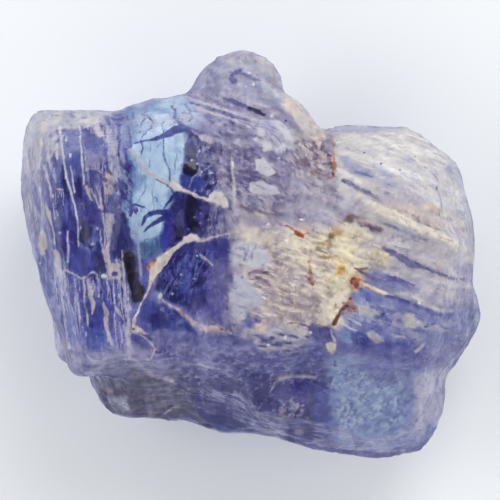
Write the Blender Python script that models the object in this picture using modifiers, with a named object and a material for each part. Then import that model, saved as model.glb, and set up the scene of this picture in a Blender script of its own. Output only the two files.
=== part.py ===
"""Rough tanzanite: one cleaved and water-worn crystal fragment, lying on its flat cleavage face.

X runs across the stone and Y up it, as its best face is seen from above. Z is up, and the
stone rests on Z = 0. Lengths are in millimetres until the last step, which turns them to metres.
"""

import math
from dataclasses import dataclass

import bmesh
import bpy
from mathutils import Matrix, Vector, noise

METRES = 0.001

# Driving dimensions
WIDTH = 12.5
HEIGHT = 11.2
DEPTH = 7.3

# How far up the blocks the stone is cleaved off flat, which makes the face it rests on
BASE_CUT = 0.35

# The mesh: its voxels, how often its edges are rounded, and its triangles
VOXEL = 0.12
ROUNDINGS = 5
TRIANGLES = 8600

# The swells, the lumps and the cleavage ledges: how far apart they are and how high
SWELL_PITCH = 3.2
SWELL_HEIGHT = 0.17
LUMP_PITCH = 1.1
LUMP_HEIGHT = 0.06
LEDGE_PITCH = 0.95
LEDGE_HEIGHT = 0.15

# The smooth face between the ledges on the left: its middle and its half width and height
SMOOTH_MIDDLE = (-2.6, 2.0)
SMOOTH_SIZE = (1.0, 2.0)

# The way the ledges run in degrees, left and right, and where one gives way to the other
LEFT_GRAIN = -83
RIGHT_GRAIN = -23
GRAINS_MEET = (-2.2, 0.6)


@dataclass
class Crystal:
    """One convex block of the stone, given by its widest section and the lean of its sides.

    girdle: the height of the widest section, as a share of the depth
    sides: a row for each side of the widest section, anticlockwise. It holds the x and y where
        the side starts, as shares of half the width and half the height, and how far the side
        leans in above and below that section, in degrees. A side buried in a neighbour leans 0.
    faces: the cleavage faces over and under it, each a point in shares and the way it faces
    """

    name: str
    girdle: float
    sides: list
    faces: list


@dataclass
class Hollow:
    """A pit worn in the upper face.

    x, y: its middle in millimetres
    length, width: its half sizes
    heading: the way its length runs, in degrees
    depth: how deep it is, or how high where it is below zero
    """

    x: float
    y: float
    length: float
    width: float
    heading: float
    depth: float


BASE = ((0, 0, 0), (0, 0, -1))

CRYSTALS = [
    Crystal(
        "left", 0.6,
        [(-1.012, 0.588, 17, 9), (-1.012, 0.318, 17, 9), (-0.993, 0.149, 16, 8),
         (-0.966, 0.019, 15, 9), (-0.9, -0.212, 14, 12), (-0.8, -0.583, 12, 6),
         (-0.35, -0.6, 0, 0), (-0.35, 0.698, 26, 18), (-0.903, 0.702, 30, 22),
         (-0.987, 0.672, 28, 24)],
        [((-0.5, 0, 0.955), (-0.07, 0.03, 1)), ((-0.9, 0.3, 0.9), (-1, 0.2, 1.2)), BASE],
    ),
    Crystal(
        "left foot", 0.34,
        [(-0.931, 0.13, 11, 24), (-0.898, -0.212, 11, 26), (-0.883, -0.46, 15, 32),
         (-0.863, -0.53, 22, 36), (-0.812, -0.555, 28, 40), (-0.752, -0.568, 30, 42),
         (-0.35, -0.617, 0, 0), (-0.35, 0.13, 0, 0)],
        [((-0.6, -0.2, 0.91), (-0.1, -0.06, 1)), ((-0.6, -0.5, 0.86), (-0.1, -1.1, 1)), BASE],
    ),
    Crystal(
        "centre", 0.56,
        [(-0.57, 0.719, 0, 0), (-0.57, -0.5, 0, 0), (0.42, -0.55, 0, 0), (0.46, 0.2, 14, 24),
         (0.288, 0.594, 22, 26), (0.262, 0.64, 24, 24), (0.194, 0.746, 24, 20),
         (0.16, 0.795, 22, 13), (-0.324, 0.79, 22, 15)],
        [((0, 0, 0.985), (-0.03, 0.03, 1)), ((0, 0.4, 0.97), (0, 0.32, 1)),
         ((0.25, 0.1, 0.97), (0.22, 0.1, 1)), ((0, -0.455, 0.965), (-0.02, -1.0, 1)), BASE],
    ),
    Crystal(
        "knob", 0.46,
        [(-0.3, 0.5, 0, 0), (0.17, 0.5, 22, 26), (0.151, 0.807, 24, 30),
         (0.121, 0.918, 30, 36), (0.082, 0.965, 34, 40), (-0.009, 1.01, 34, 42),
         (-0.108, 1.01, 32, 40), (-0.185, 0.97, 28, 34), (-0.25, 0.908, 26, 28),
         (-0.3, 0.8, 22, 24)],
        [((-0.06, 0.78, 0.83), (0, 0.75, 1)), ((-0.06, 0.92, 0.16), (0.1, 0.9, -1)), BASE],
    ),
    Crystal(
        "right", 0.52,
        [(0.0, -0.5, 0, 0), (0.886, -0.54, 24, 20), (0.957, -0.42, 19, 15),
         (0.98, -0.02, 18, 14), (0.985, 0.115, 21, 16), (0.957, 0.285, 25, 18),
         (0.91, 0.45, 27, 22), (0.855, 0.52, 29, 26), (0.786, 0.586, 30, 28),
         (0.69, 0.652, 28, 28), (0.432, 0.634, 25, 24), (0.3, 0.59, 0, 0),
         (0.0, 0.3, 0, 0)],
        [((0.5, 0, 0.915), (0.13, 0.06, 1)), ((0.8, 0.1, 0.85), (0.5, 0.12, 1)),
         ((0.55, 0.5, 0.85), (0.16, 0.7, 1)), ((0.3, -0.46, 0.955), (0.13, -0.8, 1)),
         ((0.7, 0.1, 0.06), (0.3, 0.2, -1)), BASE],
    ),
    Crystal(
        "heel", 0.38,
        [(0.4, -0.1, 0, 0), (0.4, -0.545, 0, 0), (0.86, -0.563, 22, 34),
         (0.895, -0.55, 24, 34), (0.96, -0.452, 22, 30), (1.013, -0.348, 20, 26),
         (1.01, -0.289, 20, 26), (0.968, -0.1, 20, 24)],
        [((0.7, -0.35, 0.84), (0.3, -0.35, 1)), ((0.8, -0.3, 0.1), (0.4, -0.2, -1)), BASE],
    ),
    Crystal(
        "lower middle", 0.3,
        [(-0.4, -0.3, 0, 0), (-0.4, -0.766, 24, 30), (-0.3, -0.81, 20, 26),
         (-0.235, -0.845, 16, 22), (-0.14, -0.871, 12, 16), (0.35, -0.89, 0, 0),
         (0.35, -0.3, 0, 0)],
        [((0, -0.465, 0.945), (-0.04, -1.05, 1)), ((0, 0, 0.94), (0, -0.05, 1)), BASE],
    ),
    Crystal(
        "lower right", 0.36,
        [(0.0, -0.3, 0, 0), (0.0, -0.857, 12, 20), (0.268, -0.947, 14, 22),
         (0.406, -0.979, 16, 26), (0.544, -1.008, 18, 28), (0.684, -0.986, 20, 30),
         (0.75, -0.967, 22, 32), (0.815, -0.855, 18, 30), (0.862, -0.694, 12, 28),
         (0.85, -0.3, 0, 0)],
        [((0.3, -0.47, 0.925), (0.1, -0.78, 1)), ((0.6, -0.5, 0.85), (0.34, -0.66, 1)),
         ((0, 0, 0.9), (0.06, 0, 1)), BASE],
    ),
    Crystal(
        "lobe", 0.28,
        [(-0.775, -0.4, 22, 26), (-0.749, -0.607, 25, 30), (-0.681, -0.738, 27, 32),
         (-0.645, -0.79, 27, 32), (-0.585, -0.815, 25, 32), (-0.1, -0.812, 0, 0),
         (-0.1, -0.4, 0, 0)],
        [((-0.45, -0.58, 0.7), (-0.14, -0.75, 1)), ((-0.5, -0.75, 0.06), (-0.2, -0.5, -1)), BASE],
    ),
]

HOLLOWS = [
    Hollow(-3.28, -0.62, 0.85, 0.26, -84, 0.34),
    Hollow(0.2, 3.95, 1.5, 0.34, -24, 0.2),
    Hollow(1.95, 1.9, 1.9, 0.3, -80, 0.12),
    Hollow(2.9, -0.7, 1.2, 0.42, 38, 0.16),
    Hollow(1.1, -3.4, 1.0, 0.28, 8, 0.18),
    Hollow(-0.3, -0.9, 0.9, 0.7, -78, -0.14),
    Hollow(2.2, 1.0, 0.9, 0.35, 52, -0.14),
    Hollow(4.1, 0.9, 2.2, 0.26, -24, -0.12),
    Hollow(-2.2, -2.1, 0.9, 0.3, 60, 0.1),
]


def clear_scene():
    """Removes whatever the scene holds."""
    for obj in list(bpy.data.objects):
        bpy.data.objects.remove(obj)


def place(x, y, z):
    """A point of the stone in millimetres, from shares of its half width, half height and depth."""
    return Vector((x * WIDTH / 2, y * HEIGHT / 2, z * DEPTH))


def cleave(bm, point, normal):
    """Cuts a solid along a plane, drops what is on the normal's side and closes the cut."""
    cut = bmesh.ops.bisect_plane(
        bm, geom=bm.verts[:] + bm.edges[:] + bm.faces[:], dist=1e-5,
        plane_co=point, plane_no=normal, clear_outer=True,
    )
    rim = [item for item in cut["geom_cut"] if isinstance(item, bmesh.types.BMEdge)]
    bmesh.ops.holes_fill(bm, edges=rim)


def crystal_object(crystal, collection):
    """A block cut from a cube: two leaning faces on each side, then the faces over and under it."""
    bm = bmesh.new()
    bmesh.ops.create_cube(bm, size=3 * WIDTH)
    ends = crystal.sides[1:] + crystal.sides[:1]
    for (x, y, lean_above, lean_below), (end_x, end_y, *_) in zip(crystal.sides, ends):
        corner = place(x, y, crystal.girdle)
        along = place(end_x, end_y, crystal.girdle) - corner
        outward = Vector((along.y, -along.x, 0)).normalized()
        for lift in (math.tan(math.radians(lean_above)), -math.tan(math.radians(lean_below))):
            cleave(bm, corner, outward + Vector((0, 0, lift)))
    for point, facing in crystal.faces:
        cleave(bm, place(*point), Vector(facing))
    bmesh.ops.recalc_face_normals(bm, faces=bm.faces[:])
    mesh = bpy.data.meshes.new(crystal.name)
    bm.to_mesh(mesh)
    bm.free()
    obj = bpy.data.objects.new(crystal.name, mesh)
    collection.objects.link(obj)
    return obj


def applied(obj, name):
    """A new mesh of the object with its modifiers applied."""
    bpy.context.view_layer.update()
    graph = bpy.context.evaluated_depsgraph_get()
    mesh = bpy.data.meshes.new_from_object(obj.evaluated_get(graph))
    mesh.name = name
    return mesh


def grown_together(crystals):
    """The crystals joined in one solid, as they grew."""
    first, *others = crystals
    for other in others:
        join = first.modifiers.new("join " + other.name, "BOOLEAN")
        join.operation = "UNION"
        join.object = other
    return applied(first, "grown together")


def worn_round(mesh, collection):
    """The solid in even voxels, with its edges and seams worn round."""
    obj = bpy.data.objects.new("worn", mesh)
    collection.objects.link(obj)
    remesh = obj.modifiers.new("voxels", "REMESH")
    remesh.mode = "VOXEL"
    remesh.voxel_size = VOXEL
    smooth = obj.modifiers.new("rounding", "SMOOTH")
    smooth.factor = 0.5
    smooth.iterations = ROUNDINGS
    worn = applied(obj, "worn")
    bpy.data.objects.remove(obj)
    return worn


def smoothstep(value):
    """Eases a share from 0 to 1."""
    share = min(max(value, 0.0), 1.0)
    return share * share * (3 - 2 * share)


def ledge(steps):
    """The rise and fall of a stepped face: long slopes with a sharp drop after each."""
    within = steps - math.floor(steps)
    return smoothstep(within / 0.26) - within - 0.37


def ledges(point, heading):
    """The ledges that run one way, at a point of the stone."""
    angle = math.radians(heading)
    across = -math.sin(angle) * point.x + math.cos(angle) * point.y
    along = math.cos(angle) * point.x + math.sin(angle) * point.y
    wander = noise.noise(Vector((across * 0.5, along * 0.16, point.z * 0.5 + heading)))
    fading = 0.55 + 0.9 * noise.noise(Vector((across * 0.6, along * 0.3, heading - point.z * 0.3)))
    return max(fading, 0.0) * ledge((across + 0.25 * point.z) / LEDGE_PITCH + 1.3 * wander)


def hollow_depth(hollow, point):
    """How deep a hollow is at a point."""
    angle = math.radians(hollow.heading)
    dx = point.x - hollow.x
    dy = point.y - hollow.y
    along = (math.cos(angle) * dx + math.sin(angle) * dy) / hollow.length
    across = (-math.sin(angle) * dx + math.cos(angle) * dy) / hollow.width
    return hollow.depth * smoothstep(1.35 - math.hypot(along, across))


def relief(point, normal):
    """How far the surface stands out at a point, from its swells, lumps, ledges and hollows."""
    swell = noise.noise(point / SWELL_PITCH + Vector((3.1, 0, 7.7)))
    lump = noise.noise(point / LUMP_PITCH + Vector((0, 5.3, 0)))
    share = smoothstep((point.x - GRAINS_MEET[0]) / (GRAINS_MEET[1] - GRAINS_MEET[0]))
    stepped = (1 - share) * ledges(point, LEFT_GRAIN) + share * ledges(point, RIGHT_GRAIN)
    height = SWELL_HEIGHT * swell
    rough = LUMP_HEIGHT * lump + LEDGE_HEIGHT * stepped
    if normal.z > 0.3 and point.z > DEPTH / 2:
        off_x = (point.x - SMOOTH_MIDDLE[0]) / SMOOTH_SIZE[0]
        off_y = (point.y - SMOOTH_MIDDLE[1]) / SMOOTH_SIZE[1]
        rough *= 0.15 + 0.85 * smoothstep(2 * math.hypot(off_x, off_y) - 1.6)
        height -= sum(hollow_depth(hollow, point) for hollow in HOLLOWS)
    return height + rough


def weather(mesh):
    """Moves the surface in and out along its normals by its relief."""
    normals = [vertex.normal.copy() for vertex in mesh.vertices]
    for vertex, normal in zip(mesh.vertices, normals):
        vertex.co += relief(vertex.co, normal) * normal


def thinned(mesh, collection):
    """The surface in fewer triangles."""
    obj = bpy.data.objects.new("thinned", mesh)
    collection.objects.link(obj)
    triangles = sum(len(polygon.vertices) - 2 for polygon in mesh.polygons)
    decimate = obj.modifiers.new("thinning", "DECIMATE")
    decimate.ratio = TRIANGLES / triangles
    decimate.use_collapse_triangulate = True
    thin = applied(obj, "tanzanite")
    bpy.data.objects.remove(obj)
    return thin


def trim(mesh):
    """Cleaves the resting face off flat, then sizes the stone and sets it on its origin."""
    bm = bmesh.new()
    bm.from_mesh(mesh)
    cleave(bm, Vector((0, 0, BASE_CUT)), Vector((0, 0, -1)))
    lows = [min(vert.co[axis] for vert in bm.verts) for axis in range(3)]
    highs = [max(vert.co[axis] for vert in bm.verts) for axis in range(3)]
    middle = Vector(((lows[0] + highs[0]) / 2, (lows[1] + highs[1]) / 2, lows[2]))
    bmesh.ops.translate(bm, verts=bm.verts[:], vec=-middle)
    sizes = [high - low for low, high in zip(lows, highs)]
    scale = Vector((WIDTH / sizes[0], HEIGHT / sizes[1], DEPTH / sizes[2])) * METRES
    bmesh.ops.scale(bm, verts=bm.verts[:], vec=scale)
    bm.to_mesh(mesh)
    bm.free()


def stone_material():
    """The violet-blue crystal with its frosted skin."""
    material = bpy.data.materials.new("tanzanite")
    material.use_nodes = True
    shader = material.node_tree.nodes["Principled BSDF"]
    shader.inputs["Base Color"].default_value = (0.2, 0.21, 0.42, 1)
    shader.inputs["Roughness"].default_value = 0.32
    shader.inputs["Metallic"].default_value = 0
    return material


def main():
    """Builds the stone."""
    clear_scene()
    collection = bpy.data.collections.new("tanzanite")
    bpy.context.scene.collection.children.link(collection)
    crystals = [crystal_object(crystal, collection) for crystal in CRYSTALS]
    joined = grown_together(crystals)
    for crystal in crystals:
        bpy.data.objects.remove(crystal)
    worn = worn_round(joined, collection)
    weather(worn)
    mesh = thinned(worn, collection)
    trim(mesh)
    for polygon in mesh.polygons:
        polygon.use_smooth = True
    mesh.materials.clear()
    mesh.materials.append(stone_material())
    stone = bpy.data.objects.new("tanzanite", mesh)
    collection.objects.link(stone)


main()
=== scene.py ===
"""The looks of a rough tanzanite: its fine surface, its colours and markings, its finish and a small photo studio."""

import logging
import math
from dataclasses import dataclass
from enum import IntEnum

import bpy
import numpy as np
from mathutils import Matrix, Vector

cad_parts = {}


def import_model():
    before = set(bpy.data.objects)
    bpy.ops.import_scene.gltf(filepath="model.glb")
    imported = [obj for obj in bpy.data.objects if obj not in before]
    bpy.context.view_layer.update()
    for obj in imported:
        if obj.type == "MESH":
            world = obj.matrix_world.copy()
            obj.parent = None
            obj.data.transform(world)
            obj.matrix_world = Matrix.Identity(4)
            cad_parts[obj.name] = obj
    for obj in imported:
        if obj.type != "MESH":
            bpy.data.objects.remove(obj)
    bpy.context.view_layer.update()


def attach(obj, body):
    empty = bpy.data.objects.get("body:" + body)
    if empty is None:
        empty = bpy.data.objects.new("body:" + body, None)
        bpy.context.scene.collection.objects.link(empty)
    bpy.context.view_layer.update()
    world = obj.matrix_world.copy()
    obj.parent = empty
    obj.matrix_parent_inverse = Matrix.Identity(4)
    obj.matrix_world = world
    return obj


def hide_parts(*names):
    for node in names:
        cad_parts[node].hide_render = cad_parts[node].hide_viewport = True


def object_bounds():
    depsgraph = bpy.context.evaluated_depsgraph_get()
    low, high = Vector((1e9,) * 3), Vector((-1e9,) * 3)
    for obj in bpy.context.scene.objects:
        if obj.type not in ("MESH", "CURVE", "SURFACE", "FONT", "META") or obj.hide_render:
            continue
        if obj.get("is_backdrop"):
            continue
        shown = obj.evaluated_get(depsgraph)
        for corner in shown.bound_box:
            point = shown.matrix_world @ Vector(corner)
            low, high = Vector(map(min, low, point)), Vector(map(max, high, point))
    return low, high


LOG = logging.getLogger("rough_tanzanite")
MM = 0.001  # one millimetre in metres

Numbers = np.ndarray
Place = tuple[float, float]
Three = tuple[float, float, float]
Rgba = tuple[float, float, float, float]

# The clouds' fixed random numbers: a word's bits, and the primes that stir a lattice corner.
WORD = 0xFFFFFFFF
CORNER_PRIMES = (374761393, 668265263, 1440662683, 974634777)
STIR_PRIMES = (2246822519, 3266489917)
# Each finer layer of clouds is smaller by GROWTH, moved by SHIFT and fainter by FADE.
GROWTH, SHIFT, FADE = 2.03, 7.3, 0.55
GRAINS = (85.0, 20.0)  # the left and the right crystal's grain, in degrees down from x
SEEDS = 99991  # how many seeds there are for the markings' names
FAR = 1e9  # farther than any place on the plan
TINY = 1e-9  # stands in for nothing where a number is divided by it


class Tint(IntEnum):
    """The stone's main colours, as display red, green and blue."""
    FROST = 0xAEAEC2
    FROST_WHITE = 0xDADBE2
    LILAC = 0xA8A5C6
    PERIWINKLE = 0x7A7EB6
    DEEP_VIOLET = 0x46428A
    NAVY = 0x2E2D62
    INK = 0x1B1938
    # painted light: the clear window's pale blue, as it looks with bright light behind it
    WINDOW_SHADE = 0x7A9ED0
    WHITE = 0xE8E8EC
    BONE = 0xC6BAB4


def eased(value: Numbers) -> Numbers:
    """Bring a ramp into 0 to 1 with soft ends.

    Args:
        value: The ramp, where 0 is its start and 1 its end.

    Returns:
        The ramp, held to 0 and 1 outside and rounded at both ends.
    """
    value = np.clip(value, 0.0, 1.0)
    return value * value * (3.0 - 2.0 * value)


@dataclass(frozen=True)
class Clouds:
    """Soft random shades in space, the same on every run."""
    seed: int
    octaves: int = 3

    def _corner(self, x: Numbers, y: Numbers, z: Numbers, salt: int) -> Numbers:
        """Give the fixed random shade of each lattice corner.

        Args:
            x, y, z: The corners' whole numbers.
            salt: The layer's own number.

        Returns:
            Shades from 0 to 1.
        """
        first, second, third, fourth = CORNER_PRIMES
        mixed = (x * first + y * second + z * third + (self.seed + salt) * fourth) & WORD
        mixed = ((mixed ^ (mixed >> 15)) * STIR_PRIMES[0]) & WORD
        mixed = ((mixed ^ (mixed >> 13)) * STIR_PRIMES[1]) & WORD
        return (mixed ^ (mixed >> 16)) / float(WORD)

    def _layer(self, place: Numbers, salt: int) -> Numbers:
        """Give one layer's shade at each place.

        Args:
            place: The places, as rows of three numbers.
            salt: The layer's own number.

        Returns:
            One shade a row.
        """
        cell = np.floor(place)
        near = eased(place - cell)
        cell = cell.astype(np.int64)
        total = np.zeros(len(place))
        for corner in range(8):
            step = np.array([corner & 1, (corner >> 1) & 1, corner >> 2])
            share = np.prod(np.where(step == 1, near, 1.0 - near), axis=1)
            total += share * self._corner(*(cell + step).T, salt)
        return total

    def at(self, place: Numbers, size: float | Three = 1.0) -> Numbers:
        """Give the shade at each place.

        Args:
            place: The places, as rows of three numbers.
            size: The clouds' size, in the places' own unit, alike in all directions or one for each.

        Returns:
            One shade a row, about 0.5 on average.
        """
        place = place / np.asarray(size, float)
        total, weight, share = np.zeros(len(place)), 0.0, 1.0
        for octave in range(self.octaves):
            total += share * self._layer(place * GROWTH ** octave + SHIFT * octave, octave)
            weight += share
            share *= FADE
        return total / weight


def turned(plan: Numbers, heading: float) -> tuple[Numbers, Numbers]:
    """Measure places along and across a heading, in degrees down from the plan's x."""
    cos, sin = math.cos(math.radians(heading)), math.sin(math.radians(heading))
    return cos * plan[:, 0] + sin * plan[:, 1], cos * plan[:, 1] - sin * plan[:, 0]


def parted(tint: int) -> Numbers:
    """Part a colour written as 0xRRGGBB into red, green and blue from 0 to 255."""
    return np.array([tint >> 16, tint >> 8 & 255, tint & 255], float)


def seed_of(name: str) -> int:
    """Give each named marking a seed of its own."""
    return sum((index + 1) * ord(letter) for index, letter in enumerate(name)) % SEEDS


def to_line(plan: Numbers, start: Place, end: Place) -> tuple[Numbers, Numbers]:
    """Measure how far places lie from a straight line.

    Args:
        plan: The places, the plan's two directions in the first two columns.
        start: The line's first end.
        end: Its other end.

    Returns:
        The distances, and how far along the line the nearest point is, 0 to 1.
    """
    start, run = np.array(start, float), np.array(end, float) - np.array(start, float)
    share = np.clip(((plan[:, :2] - start) @ run) / max(run @ run, TINY), 0.0, 1.0)
    return np.linalg.norm(plan[:, :2] - start - share[:, None] * run, axis=1), share


@dataclass(frozen=True)
class Marking:
    """Something that colours part of the stone, drawn on its plan.

    The plan is a sheet of 500 by 500 units laid over the stone, 0.027 mm each, with y pointing down the sheet.
    A marking's name seeds its ragged edge, so each has a name of its own. Clear and gloss change the skin
    only where they are given, and rise lifts it by that many millimetres.
    """
    name: str
    tint: Tint | int
    where: str
    strength: float = 1.0
    clear: float | None = None
    gloss: float | None = None
    rise: float = 0.0

    @property
    def lines(self) -> list[list[tuple[float, ...]]]:
        """Read the marking's points: numbers apart by commas, points by spaces and separate lines by semicolons."""
        return [[tuple(map(float, point.split(","))) for point in line.split()] for line in self.where.split(";")]

    @property
    def colour(self) -> Numbers:
        """Give the colour as three numbers from 0 to 255."""
        return parted(self.tint)

    def margin(self) -> float:
        """Say how far outside its points the marking may reach."""
        return 12.0

    def cover(self, plan: Numbers) -> Numbers:
        """Say how strongly the marking covers each place.

        Args:
            plan: The places on the plan.

        Returns:
            A share from 0 to 1 for each place.
        """
        raise NotImplementedError

    def near(self, plan: Numbers) -> Numbers:
        """Find the places that the marking can reach.

        Args:
            plan: The places.

        Returns:
            True for each place inside the marking's box.
        """
        corners = np.array([point[:2] for line in self.lines for point in line])
        low, high = corners.min(0) - self.margin(), corners.max(0) + self.margin()
        return np.all((plan[:, :2] > low) & (plan[:, :2] < high), axis=1)


@dataclass(frozen=True)
class Wash(Marking):
    """A patch of colour with a soft, ragged edge."""
    soft: float = 5
    ragged: float = 4.0
    patchy: float = 0.0
    size: float = 12.0

    def margin(self) -> float:
        """Say how far outside its points the marking may reach."""
        return self.soft + 2.0 * self.ragged + 1.0

    def cover(self, plan: Numbers) -> Numbers:
        """Say how strongly the wash covers each place.

        Args:
            plan: The places on the plan.

        Returns:
            A share from 0 to 1 for each place.
        """
        far, inside = np.full(len(plan), FAR), np.zeros(len(plan), bool)
        x, y = plan[:, 0], plan[:, 1]
        for start, end in (side for line in self.lines for side in zip(line, line[1:] + line[:1])):
            far = np.minimum(far, to_line(plan, start, end)[0])
            crosses = (start[1] > y) != (end[1] > y)
            slope = (end[0] - start[0]) / (end[1] - start[1] if end[1] != start[1] else TINY)
            inside ^= crosses & (x < slope * (y - start[1]) + start[0])
        clouds = Clouds(seed_of(self.name))
        edge = np.where(inside, -far, far) + 3.2 * self.ragged * (clouds.at(plan, self.size) - 0.5)
        cover = eased(0.5 - edge / self.soft)
        if self.patchy:
            holes = eased((Clouds(clouds.seed + 11).at(plan, 0.6 * self.size) - 0.42) / 0.18)
            cover = cover * (1.0 - self.patchy + self.patchy * holes)
        return cover


@dataclass(frozen=True)
class Vein(Marking):
    """A thread, crack or stripe through points of (x, y, width)."""
    soft: float = 1.5
    ragged: float = 0.5
    wander: float = 1.0

    def cover(self, plan: Numbers) -> Numbers:
        """Say how strongly the vein covers each place.

        Args:
            plan: The places on the plan.

        Returns:
            A share from 0 to 1 for each place.
        """
        seed = seed_of(self.name)
        drift = np.stack([Clouds(seed, 2).at(plan, 9.0), Clouds(seed + 5, 2).at(plan, 9.0)], axis=1) - 0.5
        bent = plan[:, :2] + 2.0 * self.wander * drift
        edge = np.full(len(plan), FAR)
        for line in self.lines:
            for start, end in zip(line, line[1:]):
                far, along = to_line(bent, start[:2], end[:2])
                edge = np.minimum(edge, far - 0.5 * (start[2] + along * (end[2] - start[2])))
        widest = max(point[2] for line in self.lines for point in line)
        edge += self.ragged * widest * (Clouds(seed + 9, 2).at(plan, 4.0) - 0.5)
        return eased(0.5 - edge / self.soft)


@dataclass(frozen=True)
class Spots(Marking):
    """Spots at points of (x, y, half length, half width), or with a turn in degrees as well."""
    soft: float = 0.8
    ragged: float = 0.3

    def cover(self, plan: Numbers) -> Numbers:
        """Say how strongly the spots cover each place.

        Args:
            plan: The places on the plan.

        Returns:
            A share from 0 to 1 for each place.
        """
        uneven = 2.0 * self.ragged * (Clouds(seed_of(self.name), 2).at(plan, 3.5) - 0.5)
        cover = np.zeros(len(plan))
        for x, y, length, width, *turn in self.lines[0]:
            long, wide = turned(plan[:, :2] - (x, y), sum(turn))
            reach = np.hypot(long / length, wide / width) + uneven
            cover = np.maximum(cover, eased((1.0 + self.soft / 2.0 - reach) / self.soft))
        return cover


@dataclass(frozen=True)
class Streaks(Wash):
    """A field of streaks. Its run says how they lie, and leaves out what is as usual at its end."""
    strength: float = 0.6
    run: tuple[float, ...] = ()
    wave: float = 3.0
    soft: float = 9.0
    ragged: float = 5.0

    def cover(self, plan: Numbers) -> Numbers:
        """Say how strongly the streaks cover each place.

        Args:
            plan: The places on the plan.

        Returns:
            A share from 0 to 1 for each place.
        """
        heading, width, length, share, edge = self.run + USUAL_RUN[len(self.run):]
        seed, (along, across) = seed_of(self.name), turned(plan, heading)
        across = across + 2.0 * self.wave * (Clouds(seed + 3, 2).at(plan, 40.0) - 0.5)
        place = np.stack([along / length, across / width, plan[:, 2] / 200.0], axis=1)
        bar = 0.5 + 0.36 * (0.5 - share)
        return super().cover(plan) * eased(0.5 + (Clouds(seed + 1).at(place) - bar) / edge)


# A run's heading in degrees down from the plan's x, its streaks' width and length, their share and their edge.
USUAL_RUN = (118, 2.6, 12, 0.4, 0.16)
T = Tint
WASHES: tuple[Marking, ...] = (
    Wash("all", T.PERIWINKLE, "0,0 500,0 500,500 0,500", clear=0.15, gloss=0.2, soft=6),
    Wash("left body", 0x5456A0, "18,100 132,100 150,250 150,355 40,360 18,230", clear=0.3, soft=10),
    Wash("left body deep", 0x464992, "56,160 118,150 128,215 128,300 60,335 46,250", clear=0.4, soft=20, ragged=10,
        size=25),
    Wash("left rim frost", 0x9899B6, "14,105 40,105 44,150 44,200 46,235 34,255 14,190", 0.9, clear=0.1, soft=16,
        ragged=8),
    Wash("left rim lower", 0x8486B4, "20,240 36,240 46,290 52,330 56,350 30,350", clear=0.12, soft=12, ragged=5),
    Wash("top frost", 0xB5B5C7, "16,104 150,96 128,112 112,116 102,122 84,126 62,134 58,152 50,164 30,178 14,168",
        clear=0.1, soft=14, ragged=8),
    Wash("left foot lilac", 0x9A98C2, "40,336 70,344 110,346 158,350 160,372 100,374 58,364 42,350", clear=0.1, soft=16,
        ragged=7),
    Wash("middle body", 0x8A85AA, "180,84 300,84 330,130 340,200 300,240 215,345 200,250 205,190 186,120", clear=0.15,
        soft=24, ragged=12),
    Wash("middle column", 0x6C689E, "214,200 236,200 236,300 244,335 214,335 212,260", clear=0.2, soft=18, ragged=9),
    Wash("knobs", 0xA29EB4, "196,40 284,40 290,96 272,112 226,98 196,92; 236,190 330,180 352,206 330,232 290,226 "
        "236,220", clear=0.12, soft=14),
    Wash("knob left", 0x8486AE, "190,60 214,50 228,70 226,96 196,100", 0.7, clear=0.15, soft=14),
    Wash("shoulder", 0xCBC5C5, "280,84 296,92 322,124 330,136 306,138 290,116 280,100", clear=0.05, soft=10),
    Wash("mottle ground", 0xA69DA6, "290,132 336,132 336,180 318,192 292,176", clear=0.05, soft=14),
    Wash("fibre ground", 0xD0C5BE, "236,224 300,228 340,222 378,236 372,262 352,290 340,325 318,332 262,326 244,300 "
        "240,262", clear=0.02, soft=22, ragged=12),
    Wash("fibre cream", 0xE8DDC6, "296,238 340,222 400,244 392,262 362,276 346,300 336,322 318,318 312,284 290,262",
        clear=0.02, soft=16, ragged=8),
    Wash("right block", 0xCCC8CB, "330,118 400,112 450,140 476,196 480,250 478,285 430,272 390,252 352,214 336,190",
        clear=0.05, soft=14),
    Wash("right middle", 0xB8B2BE, "352,214 400,214 480,240 482,292 440,306 384,290 360,268", 0.85, clear=0.06, soft=18,
        ragged=8),
    Wash("right blue field", 0x7A80B8, "356,292 388,296 424,310 470,316 484,330 470,350 420,352 370,352 336,340 "
        "342,322", clear=0.25, soft=10, ragged=5),
    Wash("right lower rim", 0x7074A6, "424,346 486,318 482,345 455,372 424,372", clear=0.15, soft=10),
    # Partly the stone's violet, partly painted shade: the faces under the ridge turn down and are painted darker.
    Wash("under ridge", 0x64659C, "150,334 262,338 330,346 330,384 240,392 150,380", clear=0.2, soft=14),
    Wash("under violet", 0x2E2D6E, "176,374 250,366 330,378 332,450 282,446 180,424", clear=0.3, soft=18, ragged=8),
    Wash("smooth band", 0x585A9E, "236,352 300,356 336,342 340,362 300,372 250,372", clear=0.3, soft=9, ragged=3),
    Wash("panel violet", 0x5E5EA0, "334,344 424,340 424,372 366,384 334,372", clear=0.25, soft=10),
    Wash("panel", 0x8A9ACA, "330,362 350,358 372,380 400,372 414,380 412,430 392,446 336,446 328,400", clear=0.25,
        soft=34, ragged=16, size=20),
    Wash("panel edge", 0xA6A4C6, "412,372 450,368 452,402 440,432 416,438", clear=0.1, soft=10),
    # Partly the stone's violet, partly painted shadow along the stone's lower edge.
    Wash("lower hem", 0x54528E, "270,438 330,448 380,452 420,446 440,424 446,440 412,468 340,468 270,450", 0.9,
        clear=0.25, soft=6, ragged=3),
    # Partly the lobe's grey-violet, partly painted shade: the recessed lobe faces down and is painted darker.
    Wash("lobe", 0x4E4B5E, "84,366 150,370 192,388 196,428 140,426 100,416 86,392", clear=0.05, soft=24, ragged=10),
)

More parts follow.
